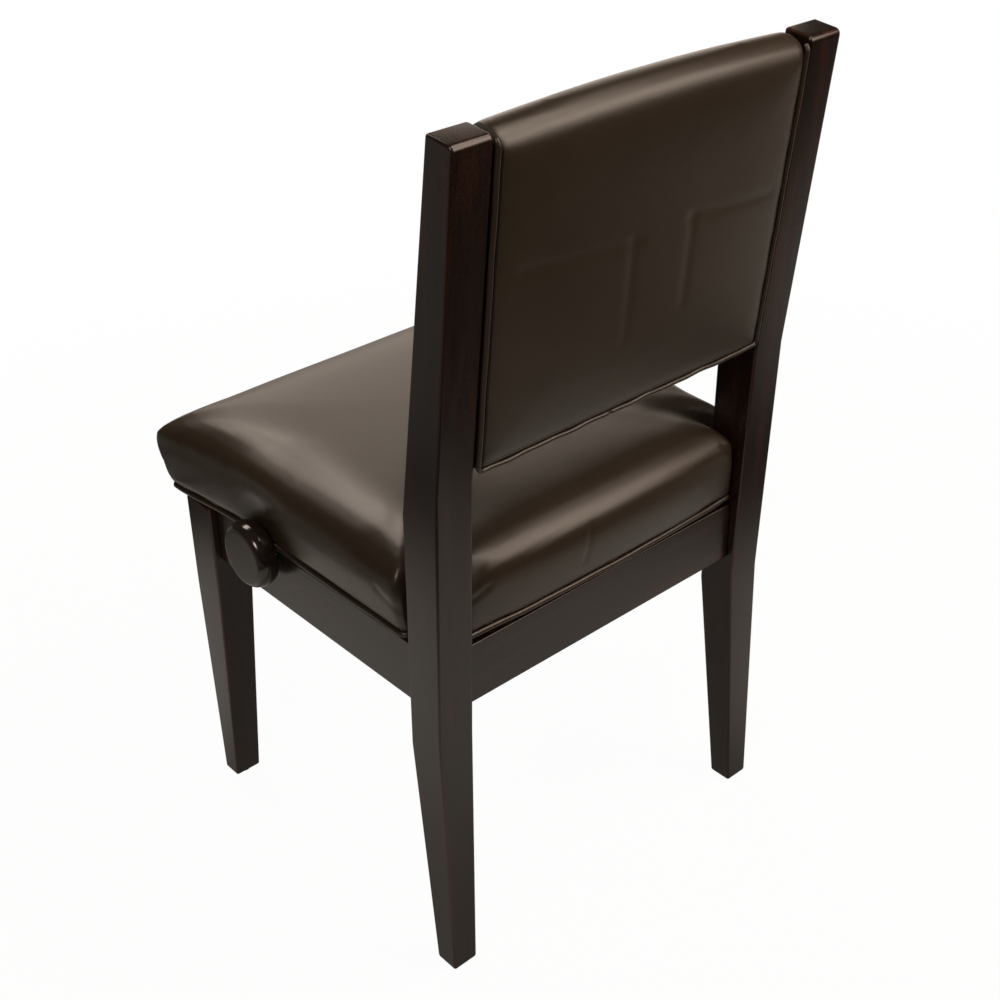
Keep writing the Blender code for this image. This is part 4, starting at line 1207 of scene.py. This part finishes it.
class CHAIR_OT_back(bpy.types.Operator):
    """Fills the back panel and sews its piping and stitches"""
    bl_idname = "chair.back"
    bl_label = "Back upholstery"

    def execute(self, context):
        settings = context.scene.chair_upholstery
        cover = back_cover()
        panel = finished("back_upholstery", cover, "frame", vinyl("back_vinyl", seam=back_seam), None)
        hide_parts("back_cushion")
        radius = settings.back_piping
        path = back_piping_path(radius)
        bottom = path[:, 2] < BACK_BASE[1] + BACK_EDGE
        joint = np.exp(-((path[:, 0] - JOINT_X) / JOINT_WIDTH) ** 2) * bottom
        welt = tube("back_welt", path, radius * (1 - JOINT_DEPTH * joint))
        piping = finished("back_welt", welt, "frame", vinyl("back_welt_vinyl", PIPING_PAINTED_SHADE), None)
        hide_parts("back_piping")
        wide = BACK_HALF - BACK_STITCH_IN
        low, high = BACK_STITCH_UP, BACK_LENGTH - BACK_ROLL * 0.7
        flat = [(wide, high)] + run((wide, high), (wide, low), 60) + [(wide, low)]
        flat += run((wide, low), (-wide, low), 90) + [(-wide, low)]
        flat += run((-wide, low), (-wide, high), 60)
        line = on_surface(cover, [back_place(x, BACK_STITCH_OUT, up) for x, up in flat])
        values = {"Pitch": settings.stitch, "Thickness": BACK_THREAD, "Material": thread_finish()}
        row = stitch_recipe().make("back_stitches", path_mesh("back_seam", line), values)
        stitches = finished("back_stitches", row, "frame", values["Material"], None)
        return {"FINISHED"}


# Wooden frame

WOODEN = {
    "rear_post_left": "z", "rear_post_right": "z", "front_leg_left": "z", "front_leg_right": "z",
    "front_apron": "x", "rear_apron": "x", "side_apron_left": "y", "side_apron_right": "y",
}


class CHAIR_OT_wood(bpy.types.Operator):
    """Lacquers the posts, legs and aprons, and finishes the bare wood and the feet"""
    bl_idname = "chair.wood"
    bl_label = "Wooden frame"

    def execute(self, context):
        lacquer = {axis: lacquered_wood(axis) for axis in "xyz"}
        for node, axis in WOODEN.items():
            mesh = copy_of(node, f"lacquered_{node}")
            mark_eased(mesh)
            piece = finished(f"lacquered_{node}", mesh, "frame", lacquer[axis], 40)
            even = piece.modifiers.new("even_shading", "WEIGHTED_NORMAL")
            even.keep_sharp = True
            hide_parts(node)
        blocks = plain_wood("corner_block_wood", "x")
        glides = nylon()
        dress("seat_board", plain_wood("seat_plywood", "x", "Z"))
        dress("back_board", plain_wood("back_plywood", "x"))
        for end, _ in ENDS:
            for side, _ in SIDES:
                dress(f"corner_block_{end}_{side}", blocks)
                dress(f"foot_glide_{end}_{side}", glides)
        for level in ("lower", "upper"):
            for side, _ in SIDES:
                dress(f"back_dowel_{level}_{side}", blocks)
        return {"FINISHED"}


# Lift

# Screws of the lower rails, the bearings and the upper rails, from the edges of what they hold
RAIL_WALL = 0.003
RAIL_TAB = 0.008
RAIL_SCREW_UP = 0.008
RAIL_SCREW_DOWN = 0.007
BEARING_SCREW_IN = 0.005
BEARING_SCREW_UP = 0.006
SEAT_SCREW_IN = 0.0085
SEAT_SCREWS = (-0.125, -0.045, 0.045, 0.125)

# Washers on the pins, and the stretch without thread at each end of the lead screw
WASHER_RADIUS = 0.0068
WASHER_THICKNESS = 0.0009
PLAIN_END = 0.058


def lift_screws():
    """Where the screws sit, for each body, as (place, facing) pairs."""
    fixed = []
    moving = []
    for end, inward in ENDS:
        low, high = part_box(f"lower_rail_{end}")
        y = high.y - RAIL_TAB if inward > 0 else low.y + RAIL_TAB
        for z in (low.z + RAIL_SCREW_UP, high.z - RAIL_SCREW_DOWN):
            fixed.append(((low.x + RAIL_WALL, y, z), (1, 0, 0)))
            fixed.append(((high.x - RAIL_WALL, y, z), (-1, 0, 0)))
        low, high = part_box(f"upper_rail_{end}")
        y = low.y + SEAT_SCREW_IN if inward > 0 else high.y - SEAT_SCREW_IN
        for x in SEAT_SCREWS:
            moving.append(((x, y, high.z - RAIL_WALL), (0, 0, -1)))
    for side, sign in SIDES:
        low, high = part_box(f"screw_bearing_{side}")
        face = low.x if sign > 0 else high.x
        for y in (low.y + BEARING_SCREW_IN, high.y - BEARING_SCREW_IN):
            fixed.append(((face, y, low.z + BEARING_SCREW_UP), (-sign, 0, 0)))
    return fixed, moving


PINS = {"lower_pivot": "frame", "upper_pivot": "seat", "slide_pin": "outer_arms"}


def lift_washers():
    """Where the pins' washers sit, for each body, as (place, facing) pairs."""
    spots = {body: [] for body in PINS.values()}
    for end, inward in ENDS:
        for pin, body in PINS.items():
            low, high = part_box(f"{pin}_{end}")
            far = low.y if inward > 0 else high.y
            spots[body].append((((low.x + high.x) / 2, far, (low.z + high.z) / 2), (0, -inward, 0)))
    return spots


class CHAIR_OT_lift(bpy.types.Operator):
    """Finishes the scissor lift: its steel, its lead screw's thread, screws and washers"""
    bl_idname = "chair.lift"
    bl_label = "Scissor lift"

    def execute(self, context):
        settings = context.scene.chair_lift
        black = coated_steel()
        zinc = zinc_plate()
        for node in FRAME["nodes"]:
            if node.startswith(("lower_rail", "upper_rail", "outer_arm", "inner_arm", "nut_carrier")):
                dress(node, black)
            if node.startswith(("lower_pivot", "upper_pivot", "slide_", "centre_pin", "screw_collar")):
                dress(node, zinc)
        for side, _ in SIDES:
            dress(f"screw_bearing_{side}", black)
        low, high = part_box("lead_screw")
        values = {
            "Radius": (high.z - low.z) / 2,
            "Length": high.x - low.x,
            "Plain Ends": PLAIN_END,
            "Pitch": settings.pitch,
            "Depth": settings.thread_depth,
            "Material": zinc,
        }
        rod = thread_recipe().make("threaded_screw", bpy.data.meshes.new("thread_start"), values)
        turn = Matrix.Translation((0, SCREW_Y, SCREW_Z)) @ Matrix.Rotation(math.pi / 2, 4, "Y")
        rod.transform(turn)
        screw = finished("threaded_screw", rod, "screw", zinc, 50)
        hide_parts("lead_screw")
        recipe = fastener_recipe()
        for body, spots in zip(("frame", "seat"), lift_screws()):
            values = {"Radius": settings.head, "Material": zinc}
            name = f"{body}_screws"
            heads = finished(name, recipe.make(name, facing_points(name, spots), values), body, zinc, 30)
        recipe = washer_recipe()
        for body, spots in lift_washers().items():
            values = {"Radius": WASHER_RADIUS, "Thickness": WASHER_THICKNESS, "Material": zinc}
            name = f"{body}_washers"
            rings = finished(name, recipe.make(name, facing_points(name, spots), values), body, zinc, 30)
        return {"FINISHED"}


# Knobs

# The knob as turned: its back's place, and radii and depths from there
KNOB_BACK = 0.2285
KNOB_FACE = 0.0282
KNOB_REAR = 0.0320
KNOB_BELLY = 0.0115
HUB_RADIUS = 0.0095
HUB_ROUND = 0.0005
SOCKET_RADIUS = 0.0048
SOCKET_DEPTH = 0.012


def knob_profile():
    """(radius, out) from the middle of the face to the hub and into the socket."""
    depth = KNOB_HIGH.x - KNOB_BACK
    made = [(0, depth), (KNOB_FACE * 0.5, depth), (KNOB_FACE * 0.93, depth), (KNOB_FACE - 0.0006, depth)]
    for a in np.radians(range(86, -1, -6)):
        radius = KNOB_FACE + (KNOB_RADIUS - KNOB_FACE) * math.cos(a)
        made.append((radius, KNOB_BELLY + (depth - KNOB_BELLY) * math.sin(a)))
    for a in np.radians(range(8, 91, 9)):
        radius = KNOB_REAR + (KNOB_RADIUS - KNOB_REAR) * math.cos(a)
        made.append((radius, KNOB_BELLY * (1 - math.sin(a))))
    hub = KNOB_LOW.x - KNOB_BACK
    made += [(KNOB_REAR - 0.001, 0), (HUB_RADIUS + 0.001, 0), (HUB_RADIUS, -0.0008)]
    made += [(HUB_RADIUS, hub + HUB_ROUND), (HUB_RADIUS - HUB_ROUND, hub)]
    return made + [(SOCKET_RADIUS, hub), (SOCKET_RADIUS, SOCKET_DEPTH), (0, SOCKET_DEPTH)]


class CHAIR_OT_knobs(bpy.types.Operator):
    """Turns the two knobs on the ends of the lead screw"""
    bl_idname = "chair.knobs"
    bl_label = "Knobs"

    def execute(self, context):
        settings = context.scene.chair_lift
        gloss = knob_gloss()
        for side, sign in SIDES:
            shape = bmesh.new()
            points = [shape.verts.new((KNOB_BACK + out, radius, 0)) for radius, out in knob_profile()]
            edges = [shape.edges.new(pair) for pair in zip(points, points[1:])]
            bmesh.ops.spin(
                shape, geom=points + edges, cent=(0, 0, 0), axis=(1, 0, 0), angle=2 * math.pi,
                steps=settings.knob_steps, use_merge=True,
            )
            if sign < 0:
                bmesh.ops.scale(shape, vec=(-1, 1, 1), verts=shape.verts)
            bmesh.ops.translate(shape, vec=(0, SCREW_Y, SCREW_Z), verts=shape.verts)
            mesh = mesh_of(shape, f"turned_knob_{side}")
            knob = finished(f"turned_knob_{side}", mesh, "screw", gloss, 28)
            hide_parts(f"knob_{side}")
        return {"FINISHED"}


# Studio

# The floor, by distance from the chair's middle. The eye sees it turn wholly white over WHITE_START.
# Gloss mirrors a pool of light, dimmer under the chair, then a dark ring, then a far glow that is
# stronger on the chair's right and ends behind the chair.
# The pool, the shadow under the chair, the dark ring and the far glow are painted light and shade in the
# floor's glow.
FLOOR_SIZE = 14
FLOOR_DROP = 0.0005
WHITE_START = (0.8, 2.0)
POOL_SHADE = 0.45
POOL_START = (0.25, 0.50)
POOL_EDGE = (0.70, 0.95)
FAR_START = (0.98, 1.20)
FAR_REAR = (0.75, 1.25)
FAR_GLOW = 0.26
FAR_SIDE = (-1.3, -0.8)
FAR_SIDE_GLOW = 0.30
POOL_COLOUR = (1.0, 0.91, 0.80)
SURROUND_COLOUR = (1.0, 0.88, 0.76)
FRONT_COLOUR = (1.0, 0.85, 0.73)
REAR_COLOUR = (1.0, 0.82, 0.68)

# Softboxes as (place, target, size, colour); their powers are settings
SOFTBOXES = {
    "front": ((-1.22, -1.74, 1.22), (0, 0, 0.5), (1.9, 1.3), FRONT_COLOUR),
    "front_high": ((0.05, -1.30, 2.00), (0.1, 0, 0.48), (0.9, 0.6), FRONT_COLOUR),
    "beside": ((1.9, 0.9, 2.1), (0, 0.1, 0.5), (0.7, 0.7), FRONT_COLOUR),
    "rear_low": ((-1.05, 1.65, 1.30), (0, 0.24, 0.9), (1.0, 0.5), REAR_COLOUR),
    "rear": ((-1.03, 1.36, 1.85), (0, 0.24, 0.9), (1.2, 0.9), REAR_COLOUR),
    "rear_high": ((-0.6, 0.75, 2.40), (0, 0.24, 0.9), (1.0, 0.7), REAR_COLOUR),
}

# The camera's framing, as the photograph has it
SENSOR_WIDTH = 36
CAMERA_SHIFT = (-0.0151, -0.0056)
CAMERA_ROLL = math.radians(-0.484)
CAMERA_TARGET = Vector((0, 0.060, 0.42))


def softbox(name, place, target, size, power, colour):
    light = bpy.data.lights.new(name, "AREA")
    light.shape = "RECTANGLE"
    light.color = colour
    light.size, light.size_y = size
    light.energy = power
    lamp = bpy.data.objects.new(name, light)
    lamp.location = place
    lamp.rotation_euler = (Vector(target) - Vector(place)).to_track_quat("-Z", "Y").to_euler()
    bpy.context.scene.collection.objects.link(lamp)


def by_ray(finish, lit, shown, mirrored):
    """One shader for what the eye sees, one for what gloss mirrors, and one for all other light."""
    camera = finish.node("ShaderNodeLightPath", output="Is Camera Ray")
    through = finish.node("ShaderNodeLightPath", output="Is Transmission Ray")
    gloss = finish.node("ShaderNodeLightPath", output="Is Glossy Ray")
    other = finish.node("ShaderNodeMixShader", None, {0: gloss, 1: lit, 2: mirrored})
    seen = camera.math("MAXIMUM", camera, through)
    return finish.node("ShaderNodeMixShader", None, {0: seen, 1: other, 2: shown})


def floor_finish(settings):
    """A white floor that keeps a soft shadow, clear from below; gloss mirrors a pool of light and shade
    painted into its glow.
    """
    finish = Finish("studio_floor")
    plain = finish.node("ShaderNodeBsdfDiffuse", None, {"Color": (0.82, 0.82, 0.82)})
    white = finish.node("ShaderNodeEmission", None, {"Color": (1, 1, 1), "Strength": 1.0})
    away = finish.node("ShaderNodeVectorMath", {"operation": "LENGTH"}, {0: finish.place()}, output="Value")
    glow = settings.floor_glow + away.step(*WHITE_START) * (1 - settings.floor_glow)
    shown = finish.node("ShaderNodeMixShader", None, {0: glow, 1: plain, 2: white})
    # Painted light for gloss: a pool that is dimmer under the chair, as painted shadow, and a far glow.
    under = settings.pool * POOL_SHADE
    pool = (under + away.step(*POOL_START) * (settings.pool - under)) * (1 - away.step(*POOL_EDGE))
    far = FAR_GLOW + (1 - finish.axis("X").step(*FAR_SIDE)) * FAR_SIDE_GLOW
    beyond = away.step(*FAR_START) * (1 - finish.axis("Y").step(*FAR_REAR)) * far
    mirrored = finish.node("ShaderNodeEmission", None, {"Color": POOL_COLOUR, "Strength": pool + beyond})
    clear = finish.node("ShaderNodeBsdfTransparent")
    below = finish.node("ShaderNodeNewGeometry", output="Backfacing")
    upper = by_ray(finish, plain, shown, mirrored)
    return finish.end(finish.node("ShaderNodeMixShader", None, {0: below, 1: upper, 2: clear}))


def surround_finish(world, strength):
    """White to the eye, and a faint warm light from all round."""
    finish = Finish("studio", world)
    faint = finish.node("ShaderNodeBackground", None, {"Color": SURROUND_COLOUR, "Strength": strength})
    white = finish.node("ShaderNodeBackground", None, {"Color": (1, 1, 1), "Strength": 1.0})
    finish.end(by_ray(finish, faint, white, faint))


class CHAIR_OT_studio(bpy.types.Operator):
    """Sets the floor, the lights and the camera"""
    bl_idname = "chair.studio"
    bl_label = "Studio"

    def execute(self, context):
        settings = context.scene.chair_studio
        scene = context.scene
        scene.view_settings.view_transform = "Standard"
        shape = bmesh.new()
        bmesh.ops.create_grid(shape, x_segments=8, y_segments=8, size=FLOOR_SIZE)
        mesh = bpy.data.meshes.new("floor")
        shape.to_mesh(mesh)
        shape.free()
        mesh.materials.append(floor_finish(settings))
        floor = bpy.data.objects.new("floor", mesh)
        floor.location.z = -FLOOR_DROP
        scene.collection.objects.link(floor)
        world = bpy.data.worlds.new("studio")
        scene.world = world
        surround_finish(world, settings.surround)
        for name, (place, target, size, colour) in SOFTBOXES.items():
            softbox(name, place, target, size, getattr(settings, name), colour)
        self.camera(scene, settings)
        return {"FINISHED"}

    def camera(self, scene, settings):
        data = bpy.data.cameras.new("camera")
        data.sensor_width = SENSOR_WIDTH
        data.lens = settings.lens
        data.shift_x, data.shift_y = CAMERA_SHIFT
        turn, rise = settings.azimuth, settings.elevation
        back = Vector((math.sin(turn) * math.cos(rise), -math.cos(turn) * math.cos(rise), math.sin(rise)))
        right = (-back).cross(Vector((0, 0, 1))).normalized()
        up = right.cross(-back)
        across = right * math.cos(CAMERA_ROLL) + up * math.sin(CAMERA_ROLL)
        above = up * math.cos(CAMERA_ROLL) - right * math.sin(CAMERA_ROLL)
        lens = bpy.data.objects.new("camera", data)
        place = CAMERA_TARGET + back * settings.distance
        lens.matrix_world = Matrix.Translation(place) @ Matrix((across, above, back)).transposed().to_4x4()
        scene.collection.objects.link(lens)
        scene.camera = lens


# Panel and start

class CHAIR_PT_panel(bpy.types.Panel):
    bl_idname = "CHAIR_PT_panel"
    bl_label = "Piano chair"
    bl_space_type = "VIEW_3D"
    bl_region_type = "UI"
    bl_category = "Chair"

    def draw(self, context):
        for operator, settings in STEPS.items():
            box = self.layout.box()
            box.operator(operator)
            group = getattr(context.scene, settings)
            for name in group.bl_rna.properties.keys():
                if name not in ("rna_type", "name"):
                    box.prop(group, name)


# The operators in order, each with the settings that it reads
STEPS = {
    "chair.studio": "chair_studio",
    "chair.wood": "chair_wood",
    "chair.seat": "chair_upholstery",
    "chair.back": "chair_upholstery",
    "chair.lift": "chair_lift",
    "chair.knobs": "chair_lift",
}
GROUPS = {
    "chair_upholstery": ChairUpholstery,
    "chair_wood": ChairWood,
    "chair_lift": ChairLift,
    "chair_studio": ChairStudio,
}
OPERATORS = (CHAIR_OT_studio, CHAIR_OT_wood, CHAIR_OT_seat, CHAIR_OT_back, CHAIR_OT_lift, CHAIR_OT_knobs)


def register():
    for name, group in GROUPS.items():
        bpy.utils.register_class(group)
        setattr(bpy.types.Scene, name, PointerProperty(type=group))
    for operator in OPERATORS:
        bpy.utils.register_class(operator)
    bpy.utils.register_class(CHAIR_PT_panel)


def unregister():
    bpy.utils.unregister_class(CHAIR_PT_panel)
    for operator in reversed(OPERATORS):
        bpy.utils.unregister_class(operator)
    for name, group in GROUPS.items():
        delattr(bpy.types.Scene, name)
        bpy.utils.unregister_class(group)


def main():
    register()
    bpy.ops.chair.studio()
    bpy.ops.chair.wood()
    bpy.ops.chair.seat()
    bpy.ops.chair.back()
    bpy.ops.chair.lift()
    bpy.ops.chair.knobs()


if __name__ == "__main__":
    main()
